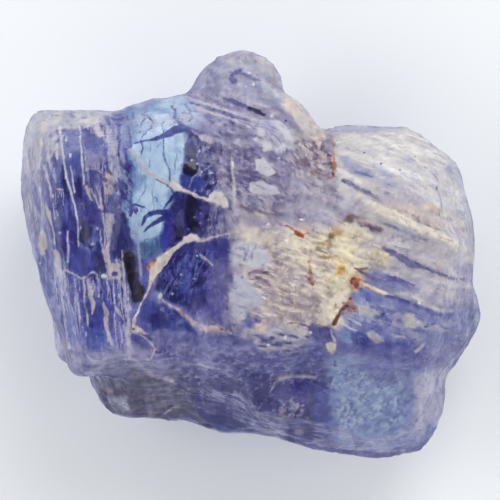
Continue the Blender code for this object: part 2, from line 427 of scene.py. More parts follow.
LEFT: tuple[Marking, ...] = (
    Streaks("left pale streaks", 0xC4C2CE, "18,118 62,118 60,230 62,300 30,260 18,190", clear=0.05,
        run=(86, 3.2, 34, 0.45)),
    Streaks("left violet streaks", 0x7876A8, "22,150 56,140 60,250 40,290 24,240", 0.55, clear=0.3, run=(85, 2.6, 26)),
    Streaks("left deep streaks", 0x363986, "54,160 118,150 128,240 128,330 56,330 40,270", 0.7, clear=0.6, gloss=0.7,
        run=(83, 4, 34, 0.42)),
    Streaks("left lit streaks", 0x7074BE, "50,200 126,200 130,345 50,345 36,270", clear=0.1, run=(84, 1.8, 20, 0.3)),
    Streaks("left fine threads", 0xA8A6CE, "46,270 130,280 132,350 52,350", 0.7, clear=0.05,
        run=(87, 1.3, 22, 0.22, 0.1)),
    Streaks("left blue glints", 0x6270C4, "56,134 122,126 132,240 130,345 60,345 46,240",
        run=(84, 2.2, 11, 0.28, 0.08)),
    Streaks("left bright threads", 0xC2BED4, "58,132 122,124 132,240 130,345 60,345 50,240", 0.85, soft=6,
        run=(86.5, 1.5, 46, 0.17, 0.06), wave=1.5),
    Wash("column blue", 0x767CB4, "63,132 80,130 82,152 76,168 66,166", ragged=2),
    Wash("column deep", 0x5458A0, "66,156 82,152 84,176 70,178", soft=7, ragged=3),
    Wash("roof blues", 0x4C5099, "81,126 88,128 97,138 103,139 100,147 92,156 83,150; 53,164 64,164 66,192 56,192 "
        "52,178", clear=0.4, gloss=0.8, soft=4, ragged=3),
    Vein("roof darks", 0x3B3E97, "86,129,2 92,140,5 97,146,3; 103,141,3 97,147,4 90,154,2", clear=0.5, soft=2),
    Vein("deep pane edge", T.NAVY, "62,165,3 64,180,3.5 65,193,3", clear=0.6),
    Vein("deep pane light", 0x94A0CE, "54,168,2 54,176,3 56,182,1.5"),
    Wash("night pane", 0x322E6A, "75,177 82,178 84,192 85,203 75,203 73,188", clear=0.4, gloss=0.7, soft=3, ragged=2),
    Wash("night below", 0x3E3C84, "74,200 92,200 100,214 100,226 78,226", clear=0.5, gloss=0.8, soft=8),
    Wash("dark pool", 0x262558, "80,219 91,218 91,232 87,240 94,252 88,250 79,236", clear=0.35, gloss=0.6, soft=3,
        ragged=3),
    Wash("left mid deep", 0x3A3A84, "56,220 76,216 78,246 70,262 58,256 52,240", 0.8, clear=0.5, gloss=0.7, soft=9),
    Wash("left centre panes", 0x434897, "68,254 84,250 98,262 96,272 84,276 70,268; 84,296 96,300 112,306 112,332 "
        "88,334", clear=0.5, gloss=0.8, soft=6),
    Wash("left right pane", 0x32306C, "94,254 104,256 108,268 106,272 96,270", clear=0.6, gloss=0.9),
    Wash("left low glass", 0x4C62B4, "90,328 106,330 110,350 92,352", 0.7, clear=0.4, soft=7),
    Vein("white threads", 0xC8C5D2, "60,132,1.6 62,142,1.9 64,160,1.8 67,178,2.4 71,192,2.6 74,203,1.8 77,219,1.6 "
        "78,232,1.4 79,246,1.3; 80,127,1.6 81,149,1.8 82,160,2.6 83,171,2.1 84,184,1.8; 70,166,1.2 72,174,1.6 "
        "73,182,1.8 75,192,1.6", clear=0, ragged=0.3),
    Vein("pale tails", 0xB3B0D1, "68,231,1.6 68,246,1.8 68,262,2.4; 68,240,1.2 69,252,1.4 68,261,2.4", clear=0,
        ragged=0.4),
    Spots("top creams", 0xD5CED1, "58,116,3.4,7,4 86,121,7,3.4,8 96,126,3.6,8,-14 100,134,3,3.4 44,126,2,7 "
        "60,130,1.6,6 30,124,1.6,8 41,143,1.4,6 57,152,1.5,8 38,166,1.4,6 28,164,1.2,6 60,189.5,3,1,10 "
        "64,345,5.6,4.6,10 55,352,4.6,3,20", soft=1),
    Spots("top marks", 0x8684A6, "50.5,136,1.8,2.6 83.5,117.5,2.6,1.4 50.5,152,1,3 73,116,3,2 47,176,1.2,4 "
        "42,178,1.2,5,4", 0.85, soft=0.7),
    Spots("teal fleck", 0x4E5C84, "68,145,1.6,2.8,10 59,218,2,6,20"),
    Spots("bright flecks", 0xCCD8E8, "66.5,139,1.2,3 70,156,1.2,3 40,189,1,3"),
    Vein("blue stripe fars", 0x6B6EA8, "34,182,2 36,194,5 38,206,4 40,214,1; 42,172,2 44,186,4 46,200,4 47,214,2",
        clear=0.3, soft=2),
    Vein("cream stripes", 0xC4BCC6, "44,166,1.4 47,177,2.6 50,189,2 51,200,1.4; 46,205,2 49,214,4 51,222,2.4 "
        "54,232,1.4 55,244,1"),
    Wash("lilac patch", 0x9694C4, "86,150 104,148 108,164 92,168 85,162", soft=7, patchy=0.5, size=7),
    Wash("violet patch", 0x5C5A9C, "86,172 100,170 104,184 92,190 86,184", patchy=0.5, size=7),
    Spots("warm patch", 0xCEC0C4, "108,178,4,8,12 110,189,3.6,7,8 115.5,172,1.8,3.6,-10", 0.9, soft=0.9),
    Spots("warm patch pits", 0x544876, "105,180,2.8,2.4 109.5,171.5,4.4,1.8,42", soft=0.7),
    Vein("fans", 0xC7BDC9, "86,187,3.4 88,193,3 92,200,1.8; 91,189,1.4 95,198,1.8 99,207,1.4; 96,186,1.2 99,196,1.8 "
        "102,206,1.4", ragged=0.4),
    Vein("pale arc", 0xB0A8CA, "88,168,1 94,169,1.4 102,173,1.4", ragged=0.4),
    Streaks("frost stripes", 0xACB2D4, "104,106 124,104 132,150 128,190 112,176 106,140", 0.7, run=(78, 3.4, 26, 0.5)),
    Vein("pale band", 0xC0BACC, "103,118,4 108,132,4 113,148,3.4 118,164,2.4 121,176,1.4", 0.75),
    Streaks("sparkle field", 0x38347E, "108,186 126,176 130,206 126,224 108,212", 0.8, clear=0.5, gloss=0.8,
        run=(70, 4, 9, 0.5)),
    Streaks("sparkle lights", 0x9CB0D8, "112,178 128,170 136,196 134,228 118,222", 0.8, gloss=0.8,
        run=(60, 2.4, 6, 0.3, 0.1)),
    Vein("plum line", 0x463A70, "102,188,2 103,200,2 105,214,2 106,228,1.4", ragged=0.3),
    Vein("white lines", 0xC7BFCF, "100,198,1.2 102,210,1.3 104,222,1.2 108,238,1.6 108,250,1.6; 55,251,3.4 58,256,4.4 "
        "58,266,4.4 59,272,3.6 57,278,1.4", rise=0.03),
    Wash("pale column top", 0xBEB8CE, "106,213 113,214 112,230 110,250 107,262 104,252 106,236", rise=0.01, soft=3.5,
        ragged=2.4),
    Vein("pale columns", 0xC8BECB, "108,250,3.4 109,262,3 110,270,3; 101,244,1.2 104,254,1.6 107,266,1.8 110,276,1.9 "
        "119,278,1.4 124,288,1.4 128,300,1.3 131,312,1.2; 104,303,3 106,312,5 107,326,4 110,338,3.4 112,348,1.6"),
    Wash("small frame", 0xBEB4C0, "108,263 120,264 121,278 108,279", soft=2.5, ragged=1.6),
    Spots("small frame pane", 0x54508C, "114,274,3,2.6", clear=0.4, soft=0.5),
    Spots("white bead", T.WHITE, "104,276,3,2.2,10", rise=0.03, soft=0.5),
    Wash("navy bay", 0x2E2B62, "111,226 118,216 128,222 133,240 133,262 124,262 114,252 111,240", 0.85, clear=0.35,
        gloss=0.6, ragged=3.5),
    Streaks("navy bay glints", 0x6062AA, "118,222 132,222 136,262 122,262", 0.8, run=(72, 2.2, 14, 0.25, 0.1)),
    Spots("navy bay beads", 0xBAB8D4, "123,230.5,1.8,1.4 53,196,1,2.2 97,228.5,1.4,1.8 93,244,2,1.4 100.5,240,1,3,10 "
        "61,288,1,2 99,296,1.4,2 73,330,1,3 75,334,1.3,2.4 50.5,318,1.6,1.2 86,334,1,3 40.5,263,1,2 60,232.5,1.2,1.4",
        soft=0.6),
    Vein("slot lips", 0xC8C2CE, "122,250,1.6 123,262,1.6 123,271,1.4; 60,273,1.2 66,270,1.4 73,274,1.4 81,278,1.4 "
        "87,277,1.3 90,274,1.4 94,272,1.4 98,275,1.2; 83,278,1.6 84,290,1.8 84,300,1.8 87,316,1.6 88,326,1; 88,279,2.6 "
        "89,286,4.4 91,296,4.6 94,306,3 92,314,1.4", rise=0.02),
    # Painted shade: the slot's depth is painted near-black; the surface is not cut there.
    Wash("dark slot", 0x160C10, "124,250 131,247 136,258 137,280 143,290 143,302 132,302 128,286 125,270", clear=0.05,
        gloss=0.3, soft=3, ragged=1.4),
    Streaks("slot streaks", 0x302860, "128,252 136,252 142,296 133,300 128,276", soft=3, ragged=1.5, run=(82, 2.2, 16)),
    Wash("slot blue side", 0x3A428A, "131,238 139,244 140,262 137,276 134,252", clear=0.5, soft=4),
    Spots("left flake", 0xC8C0C6, "41.5,236,2.6,6,10 43,243,4.6,8.6,4 42.5,252,2.6,3.6", rise=0.03, soft=0.7),
    Spots("left flake heart", 0xBEA8A6, "44,243,2.2,4.6,4", 0.9),
    Vein("lower columns", 0xBFB6C9, "115,305,1.4 118,311,3.4 123,319,1.6; 119,322,1.4 121,332,1.6 122,342,1.2; "
        "119,294,1.2 122,303,1.6 125,309,1"),
)

WINDOW: tuple[Marking, ...] = (
    # Painted light: the window's pale and light blues stand in for bright light shining through the clear crystal from
    # behind.
    Wash("window blue", T.WINDOW_SHADE, "127,110 152,104 176,100 204,104 206,118 190,130 184,166 178,192 166,214 "
        "162,240 140,254 130,236 124,210 134,180 128,150", clear=0.25, gloss=0.8, soft=8, ragged=3),
    Wash("window", 0xBCD2F0, "131,116 150,112 166,114 176,122 184,131 186,144 183,166 179,182 170,192 163,208 160,232 "
        "142,244 135,232 129,216 134,196 146,178 137,160 131,146", clear=0.2, gloss=1, soft=6, ragged=3),
    Wash("window top light", 0xA6C0DE, "152,99 180,96 202,104 200,118 184,122 172,112", 0.9, clear=0.15, gloss=0.6,
        soft=8),
    Streaks("window clouds", 0x96B8DE, "130,114 184,120 180,184 160,230 136,238 132,180", 0.5, run=(80, 6, 14)),
    Wash("window left blue", 0x6886C2, "126,112 134,113 137,128 134,142 127,146", 0.8, soft=6, ragged=3),
    Wash("window pink", 0xBCB6C4, "180,113 191,113 192,124 184,124", 0.9, clear=0, ragged=2.4),
    Wash("window low light", 0x9EBADC, "126,214 138,214 160,232 142,246 130,240", 0.7, soft=6),
    Wash("window teal", 0x5476A8, "137,240 150,244 163,234 166,246 152,256 139,258", clear=0.5, gloss=0.9, soft=7),
    Streaks("left twigs", 0x3E3A80, "120,158 134,164 132,200 140,212 124,232 118,200", 0.85, gloss=0.6,
        run=(78, 4.4, 9, 0.45, 0.1)),
    Vein("twig left walls", 0x455593, "128,116,1.5 129,126,2 130,138,2.4 130,147,1.4; 133,113,1.8 135,119,1.2 "
        "138,127,0.8; 141,140,1.8 143,148,1.4 142,157,1; 145,118,0.9 141,124,1 140,134,0.8; 143,114,2.4 148,117,1.6 "
        "153,122,1 151,128,1 142,137,1.2; 164,119,0.8 162,124,1 162,129,0.7; 164,130,1.2 163,136,1.3 163,141,1 "
        "164,155,0.9 169,170,0.8 170,180,0.7; 185,104,0.8 189,110,1 193,118,1.6 190,121,2.6", ragged=0.6),
    Vein("twigs", 0x5C7AAF, "161,143,0.7 158,147,0.8 155,151,0.6; 173,122,0.7 170,126,0.7; 177,150,0.7 174,174,0.8",
        soft=1),
    Vein("twigs b", 0x7293C1, "150,143,0.8 151,160,0.8 149,168,0.8 145,171,0.8; 146,174,0.8 146,190,0.9 140,199,0.8 "
        "136,204,0.7; 152,180,0.7 152,194,0.8 154,210,0.7", soft=1),
    Vein("twig eleven", 0x546EA6, "155,196,0.8 158,200,1.2 162,205,0.8", soft=1),
    Vein("twig twelve", 0x3A4A86, "133,205,2 138,206,2 145,208,1.2", soft=1.1, ragged=0.4),
    Vein("twig fifteen", 0x6E8EBE, "144,208,0.8 149,211,1 150,214,0.7", soft=1),
    Spots("window specks", 0x6C8CB8, "180,152,0.9,0.9 177,161,0.9,0.9 183.5,149,0.8,0.8 170,170,0.8,0.8 "
        "156,206,0.7,0.7 181,165,0.7,0.7 163,198,0.7,0.7", 0.8),
    Vein("feather one", 0x32408E, "182,128,8.6 176,130,9 170,133,7.6 163,136,5 155,139,3 146,140,1.8 134,143,0.8",
        clear=0.35, gloss=1, soft=1.4, ragged=0.18, wander=0.4),
    Vein("squiggle", 0x3E3E84, "172,107,1.8 175,109,2.4 175,116,2.6 174,118,2 178,121,3.4 181,125,3.6", soft=1.3,
        ragged=0.4, wander=0.5),
    Vein("junction arm", 0x585896, "184,126,3 192,129,3 200,133,2.4 209,133,1.4", soft=1.4, ragged=0.4),
    Vein("junction foot", 0x3A3478, "186,130,4 192,135,6 197,140,6.4 199,145,3", clear=0.5, soft=1.6, ragged=0.4),
    Vein("feather foot", 0x50609C, "186,144,2 191,142,2.4", ragged=0.4),
    Wash("dark side", 0x363C86, "187,132 200,142 218,144 218,190 206,200 178,190 184,168", clear=0.4, gloss=0.8,
        ragged=2.6),
    Streaks("dark side light", 0x8080AC, "198,140 220,140 220,194 200,194", 0.55, run=(60, 5, 7, 0.4, 0.12)),
    Streaks("dark side night", 0x322E70, "192,140 220,142 216,192 196,192", 0.8, clear=0.6,
        run=(110, 4.6, 7, 0.38, 0.1)),
    Streaks("dark side threads", 0xB0ACCC, "192,146 220,142 218,196 190,190", run=(118, 1.6, 6, 0.18, 0.08)),
    Wash("night upper", 0x282A58, "187,146 196,147 196,158 186,162", clear=0.2, gloss=0.6, soft=2.6, ragged=2),
    Spots("night round", T.INK, "190.5,169.5,7.6,7.4", clear=0.6, gloss=1, soft=0.35, ragged=0.12),
    Wash("night under", 0x3E4A98, "181,176 198,176 202,188 192,190 180,186", clear=0.5, gloss=0.9, ragged=1.6),
    Vein("pale ring arc", 0x9694C4, "199,168,1.2 197,173,1.2 191,179,1.2 190,187,1", soft=1.1, ragged=0.3),
    # Painted highlights: tiny sparkles of light on the glassy dark side.
    Spots("dark side specks", 0xCCC8D6, "192,160,1.3,1.1 197.5,163.5,1.5,1.2 201.5,172,1.4,1.1 206.5,168.5,1,1 "
        "199.5,151,1.2,1 211,173,1.6,1.2 206,156,1.2,1 214.5,157,1,1.3 204.5,180,1.1,1 213,182.5,1.2,1 209.5,148,1,1 "
        "217,150,1.2,1", 0.85),
    Spots("dark side pits", 0x2C2C54, "205.5,178.5,2,3,20 209,187,2.4,3 203.5,157,2.6,2 212.5,149,2.6,2 "
        "208.5,163.5,2.6,1.8,30", clear=0.6, soft=0.6),
    Wash("cream pad", 0xCEC7CB, "199,137 206,135 215,140 212,145 204,142", soft=3, ragged=1.6),
    Wash("big nights", 0x363370, "180,191 191,195 202,201 213,204 221,213 218,223 212,233 199,237 191,234 181,242 "
        "174,248 163,252 161,243 165,231 170,220 166,211 173,200; 119,214 124,214 130,232 133,248 124,252 118,236",
        clear=0.55, gloss=1, soft=4, ragged=2),
    Wash("royal strip", 0x3C3E94, "166,218 173,214 173,232 168,244 160,248 161,238", clear=0.4, gloss=1, soft=4,
        ragged=1.6),
    Wash("ink band", T.INK, "188,196 196,197 198,214 198,228 194,234 188,226 185,212", clear=0.6, gloss=1, soft=4,
        ragged=2.4),
    Wash("ink foot", 0x221E42, "175,226 183,228 182,240 176,242", clear=0.6, soft=4, ragged=2),
    Streaks("night plum", 0x564E92, "197,203 218,206 218,226 206,236 198,232", 0.8, clear=0.3,
        run=(70, 3.6, 6, 0.36, 0.1)),
    Streaks("night pits", 0x221E4A, "197,203 222,208 214,234 198,234", 0.8, run=(120, 3.4, 6, 0.3, 0.1)),
    Spots("night flecks", 0x847EAE, "194.5,217,1.2,1 201.5,213,1.1,0.9 200,223,1,1 208.5,220,1.2,1 215,217.5,1,1.1 "
        "210,228,1.1,1 188,229,1.2,0.9"),
    Vein("feathers", 0x2F377E, "142,225,1.6 145,218,3.6 150,214,4.6 158,212,4.6 165,212,5.6 170,216,7; 144,232,1 "
        "147,228,2.6 153,224,3.6 159,220,4.6 167,217,6; 164,208,0.8 168,203,2 172,198,4 177,194,6", clear=0.4, gloss=1,
        soft=1.3, ragged=0.15, wander=0.3),
    Vein("bubble", 0x547AA8, "145,240,0.9 148,239,0.9 149,242,0.9 148,244,0.9 145,243,0.9 144,241,0.9 145,240,0.9",
        soft=0.9, ragged=0.2, wander=0),
    Vein("pale strip", 0xA4A4CA, "138,222,1.4 138,240,2 139,252,2.4 140,264,3.4 141,274,3", rise=0.01, ragged=0.4),
)

CRACKS: tuple[Marking, ...] = (
    Wash("glassy deep", 0x302E68, "158,262 172,250 186,244 206,244 212,262 212,286 200,300 184,306 166,296 156,288",
        clear=0.6, gloss=1, soft=6, ragged=3),
    Wash("glassy upper", 0x42428A, "176,246 196,242 228,240 228,262 212,262 196,254 180,256", clear=0.45, gloss=0.8,
        soft=6, ragged=3),
    Vein("bright streak", 0x4858AA, "188,256,4 186,262,7 184,270,9 190,278,7 186,288,5", 0.75, clear=0.35, gloss=1,
        soft=7, ragged=0.6),
    Vein("bright streak low", 0x4C5CA8, "178,288,3 184,282,4 190,276,3", 0.8, soft=4),
    Streaks("glassy facets", 0x5E6CB2, "160,268 208,252 210,292 180,302 160,292", 0.75, run=(120, 3.2, 9, 0.28, 0.1)),
    Wash("glassy inks", 0x252351, "163,276 174,272 180,284 176,296 166,292; 194,268 208,262 210,282 202,292 192,284",
        clear=0.65, gloss=1, ragged=3),
    Streaks("glassy fans", 0x686EC8, "162,264 206,246 226,262 222,302 190,322 164,298", 0.9, soft=5,
        run=(118, 1.9, 11, 0.27, 0.07)),
    Streaks("glassy fans low", 0x5054AA, "164,270 206,250 226,270 218,316 190,322 164,298", 0.85, soft=5,
        run=(62, 2.4, 9, 0.3, 0.08)),
    Spots("glassy sparks", 0xC4D6E8, "160.5,295.5,2,3,20 194.5,278.5,1.2,1 197,256,1,1 173,294,1.2,1 181,275,1,1"),
    Wash("lens blue", 0x3C4288, "140,305 152,302 166,304 178,312 190,322 196,332 180,330 160,326 142,320", clear=0.45,
        gloss=0.9, ragged=2.6),
    Streaks("lens threads", 0x6874BA, "142,304 170,304 190,326 150,330", 0.8, run=(155, 1.8, 14, 0.28, 0.1)),
    Wash("lens dark", 0x303070, "148,318 162,312 172,318 170,330 154,330", 0.8, clear=0.5, soft=6, ragged=3),
    Wash("right violet", 0x5C5694, "206,262 226,252 230,300 222,326 204,318 196,300", 0.6, clear=0.25, soft=14,
        ragged=8),
    Wash("dark by lens", 0x383470, "186,296 204,290 208,308 196,316 186,308", 0.8, clear=0.4, soft=6, ragged=3),
    Vein("glassy whites", 0xC8B9C2, "200,255,1.6 205,259,2.8 212,265,1.6; 124,145,1 129,150,1.6 135,156,1.6 "
        "142,165,2.4 144,171,2.8 154,176,1.8 166,182,1.9 173,185,2.6; 286,224,1 273,225,1.6 262,227,2 253,229,1.8 "
        "244,230,1.7 234,232,2 222,235,1.7 212,237,2 206,240,1.9 197,241,2.4", ragged=0.4),
    Vein("crack underline", 0x4A3C5C, "156,180,0.8 167,185,1.1 172,188,1.1 174,193,1.1 173,198,0.8", soft=1.1,
        ragged=0.3),
    Vein("cream crack one right", 0xD6CACA, "172,184,4 176,187,7.4 182,190,3.4 190,193,2.6 196,196,3 203,198,3 "
        "208,200,3.4 214,200,5", clear=0, rise=0.025, ragged=0.3),
    Wash("cream pool one", 0xD4CDCC, "209,196 214,192 221,193 226,200 228,208 222,208 214,202", clear=0, rise=0.02,
        soft=2.6, ragged=1.4),
    Vein("crack shadow two", 0x4A468A, "222,238,1.6 207,242,1.8 196,244,2", 0.7, ragged=0.3),
    Wash("cream pool two", 0xD6CACE, "184,238 190,234 196,235 199,239 192,242 184,243", clear=0, rise=0.02, soft=2.4,
        ragged=1.2),
    Vein("cream crack two low", 0xD0C5C1, "186,242,3 179,246,3.4 173,250,5 167,256,7.6 161,262,10.5 156,268,12 "
        "153,274,9 151,280,5 149,286,2.6 147,293,1.8 142,303,1.8 138,312,1.7 134,319,1.8", clear=0, rise=0.03,
        ragged=0.12),
    Spots("crack warm", 0xCC9468, "151.5,264,4.4,2,-38 148.5,267.5,1.8,2.6", 0.9, soft=0.9),
    Spots("crack orange", 0xBC6234, "149,267,1.4,1.8 155,261,1.8,1,-30"),
    Spots("crack body grey", 0xB2A4A6, "152,274.5,1.6,2.8 150,281,2,1 164,262.5,3,1.4,-45", 0.7, soft=0.9),
    Wash("cream pool three", 0xCEBAB2, "131,319 137,318 136,325 143,329 145,334 138,333 131,333", clear=0, rise=0.02,
        soft=2.6, ragged=1.4),
    Spots("rust bead", 0x7E4630, "133,329,1.4,1.2", soft=0.6),
    Vein("curved crack", 0xB6A6BA, "133,331,1.2 143,337,1.4 151,343,1.6 155,349,1.6 153,357,1.6 145,362,1.8", clear=0,
        rise=0.015, ragged=0.3),
    Vein("fork crack", 0xB0A0B6, "143,331,2 150,336,1.6 158,340,1.2 170,341,0.8", 0.7),
    Vein("crack three", 0xB4A2A8, "160,296,1.4 165,302,2 171,306,2.6 180,310,2.6 184,315,3 189,319,3.2 195,324,4.6 "
        "201,327,6.4 209,329,7 217,328,7 224,331,4.6 231,334,1.6", 0.9, clear=0, rise=0.03, ragged=0.18),
    Vein("crack three warm", 0xC49E8A, "177,309,0.8 185,314,1.2 190,318,1", 0.8, ragged=0.4),
    Spots("crack three speck", 0x805454, "221.5,329.5,1.6,1,20 225.5,331,1,1", soft=0.7),
)

MIDDLE: tuple[Marking, ...] = (
    Streaks("knob bloom", 0xBABCD0, "200,44 282,44 290,100 230,92 200,80", run=(25, 7, 12, 0.42)),
    Streaks("knob blue", 0x8E94BE, "228,70 276,76 284,104 250,102 226,92", clear=0.2, run=(30, 5, 10, 0.45)),
    Streaks("knob rosy", 0xBCB4BE, "262,56 284,66 290,96 276,88 262,70", run=(60, 4, 10, 0.5)),
    Spots("knob violet", 0x5C5C96, "233.5,80.5,5,3,42 232,76,2,4 238,71.5,4.6,2.2,-28", 0.85, clear=0.3, soft=1),
    Vein("knob hook", 0x64649C, "242,73,2 248,76,3.4 255,80,2.6 259,81,1", 0.9, soft=2.4, ragged=0.6),
    Spots("knob creams", 0xC6C0C8, "228,61.5,5,1.8,5 262,60,8,4,25 270,70,4,5,30", 0.7, soft=1.2),
    Spots("knob whites", 0xD8DAE6, "249,72.5,1.8,1.2,30 253,84.5,1.4,1.8 239.5,61,1.2,1 246,86,1,1"),
    Wash("knob pane", 0xCACEDE, "271,89 276,87 280,96 279,101 274,97", soft=3.4, ragged=1.4),
    Vein("groove pales", 0xBFB7CD, "225,87,2 232,92,3 240,96,3 251,101,3.4 262,105,3 272,110,1.6; 233,211,1.6 "
        "234,218,2.4 235,226,1.4", soft=2.2, ragged=0.6),
    Vein("groove violet", 0x5A5492, "224,99,3 231,101,6 238,104,6 246,107,4.6 250,109,3", clear=0.35, rise=-0.03,
        soft=2),
    # Painted shade: the groove's deepest part is painted near-black over a shallow cut.
    Vein("groove slit", 0x241C34, "249,108,2.2 254,110,3.8 259,112,4 265,115,2", rise=-0.06, soft=1.8, ragged=0.3),
    Vein("groove tail", 0x807696, "265,116,2.4 272,118,2 280,120,1.4", 0.7, ragged=0.6),
    Streaks("below groove pale", 0xC0B8CA, "196,92 222,96 258,120 262,134 226,122 200,112", run=(24, 3, 22, 0.5, 0.14)),
    Streaks("below groove violet", 0x706CA0, "204,98 222,104 262,126 258,150 222,136 204,124", 0.75, clear=0.25,
        run=(24, 3.2, 16, 0.38, 0.14)),
    Wash("violet patch high", 0x5A5696, "231,122 240,126 249,134 247,141 238,138 232,132", clear=0.35, ragged=3),
    Wash("left of middle haze", 0x9698C4, "196,112 222,120 232,134 226,150 204,134", 0.7, soft=10, ragged=5),
    Spots("dark dots", 0x3E3258, "226,147.5,2.2,1.8 285.5,121,1.3,1.2", soft=0.6),
    Wash("brown left", 0x887490, "222,176 231,175 232,184 223,184", soft=4, ragged=2),
    Wash("violet column", 0x625892, "237,152 247,156 252,172 248,188 238,186", 0.9, clear=0.3, ragged=3),
    Streaks("middle speckle", 0xACA6C4, "214,128 262,150 270,190 236,206 216,200", run=(95, 3, 6, 0.4, 0.12)),
    Streaks("middle mottle dark", 0x6C6296, "216,130 300,150 300,210 222,210", clear=0.2, run=(20, 4, 8, 0.36, 0.12)),
    Spots("middle darks", 0x5C5688, "269,152,8,1.6,4 289.5,151.5,4.4,3.4,20 252,149,3,2 262,186,5,1.2,12 247,197,3,4 "
        "271,139,3,2,30 280,158,4,2.4,10", 0.8, ragged=0.5),
    Streaks("shoulder warm", 0xDACFC8, "286,96 300,100 314,120 312,132 296,124 286,110", 0.7, run=(55, 6, 12, 0.6)),
    Spots("shoulder blush", 0xC6B2B0, "276,113.5,5,2,10 293,108,4,6,20", 0.6, soft=1.2),
    Streaks("shoulder grey", 0xB2AEB4, "292,92 318,126 330,134 312,134 300,112", 0.5, run=(52, 4, 10)),
    Streaks("mottle cream", 0xCEC2BC, "294,134 332,136 332,166 300,170 292,152", 0.8, run=(40, 5, 7, 0.45, 0.12)),
    Streaks("mottle plum", 0x705870, "296,140 334,144 334,178 300,180 284,160", 0.8, run=(40, 4, 6, 0.32, 0.1)),
    Streaks("mottle red", 0x7E585C, "300,156 334,158 334,176 304,180", 0.7, run=(20, 3, 6, 0.2, 0.08)),
    Streaks("mauve fibres", 0xBAB2CA, "238,186 330,184 350,204 330,230 240,224", run=(14, 3, 22)),
    Streaks("mauve grain", 0x867698, "262,170 328,172 340,208 300,226 262,214", run=(26, 2.6, 12, 0.32, 0.12)),
    Vein("brown brush", 0x866C78, "238,206,1.4 246,208,3 256,210,3.4 268,213,2 276,214,1", 0.85, soft=2, ragged=0.6),
    Spots("ochre haze", 0xC4B0A4, "258,216,8,2.4,16", 0.7, soft=1.2),
    Streaks("middle dusk", 0x5E5676, "206,100 262,126 300,150 312,196 240,212 214,196 208,130",
        run=(32, 4.4, 12, 0.38, 0.12)),
    Streaks("middle dawn", 0xC0BBC8, "206,96 262,120 330,150 336,200 240,216 218,190", 0.5,
        run=(32, 3.6, 9, 0.32, 0.12)),
    Streaks("column pale", 0x9E98B4, "208,206 240,200 244,330 206,330", 0.7, run=(87, 2.6, 26, 0.4, 0.14)),
    Streaks("column dusk", 0x54507A, "206,206 238,206 238,330 204,330", run=(86, 2.2, 18, 0.34, 0.12)),
    Streaks("column crumbs", 0x928EB0, "206,226 238,226 238,332 204,332", 0.65, run=(100, 2.6, 4, 0.36, 0.1)),
    Streaks("column join", 0xB0A8BA, "226,206 248,200 252,250 246,330 226,330", 0.65, soft=6,
        run=(70, 4, 9, 0.42, 0.12)),
    Vein("below groove lines", 0xC9C1CE, "186,97,1.6 205,103,2.4 225,110,3 245,116,3 262,122,2; 196,107,1.4 "
        "215,114,2.2 236,121,2.2 250,127,1.4; 231,156,1 232,164,3 233,176,2.6 234,190,3.4 235,203,3 235,207,1",
        rise=0.01, soft=2, ragged=0.6),
    Vein("below groove dark", 0x605B96, "190,102,1.6 212,109,2.6 236,117,2.6 252,122,1.6", 0.85, soft=1.8, ragged=0.8),
    Wash("middle bloom", 0xB8B5C7, "256,124 276,119 292,132 298,150 280,153 258,147", 0.8, ragged=3, patchy=0.6,
        size=5),
    Wash("middle pane", 0xCACAD8, "253,160 262,157 270,166 277,174 268,178 256,170", rise=0.02, soft=1.8, ragged=1.6),
    Wash("middle pane low", 0xC6C5D4, "249,183 262,180 272,187 280,194 266,197 250,193", rise=0.02, soft=1.8,
        ragged=1.6),
    Spots("upright white", 0xE2E2E8, "232.5,164.5,1.2,3.2,-14"),
    Spots("pale panes", 0xC6C4D0, "261,131,4,6.6,-10 268,146,6,5 254,122,3,4 283,148,4,2.4,30", 0.95, rise=0.02,
        soft=0.6, ragged=0.5),
    Wash("white lozenge", 0xCACAD8, "275,121 281,120 290,131 294,138 290,143 282,136 276,128", 0.95, rise=0.02,
        soft=2.6, ragged=1.6),
    Spots("middle whites", 0xD6D6E2, "277,150,1.8,1.6 283,146,1.8,3,10 264,150,2.4,1.6 256,139,2,1.6 272,116,2,1 "
        "279,157.5,1.6,1.3", 0.8),
    Vein("overlap edge", 0xB8AAC6, "331,228,2 340,220,4 350,210,4.6 360,199,3", rise=0.02, soft=2, ragged=0.4),
    Spots("overlap pale", 0xCECEDE, "344,205,5,4 348,198,4,3", 0.85, soft=1),
)

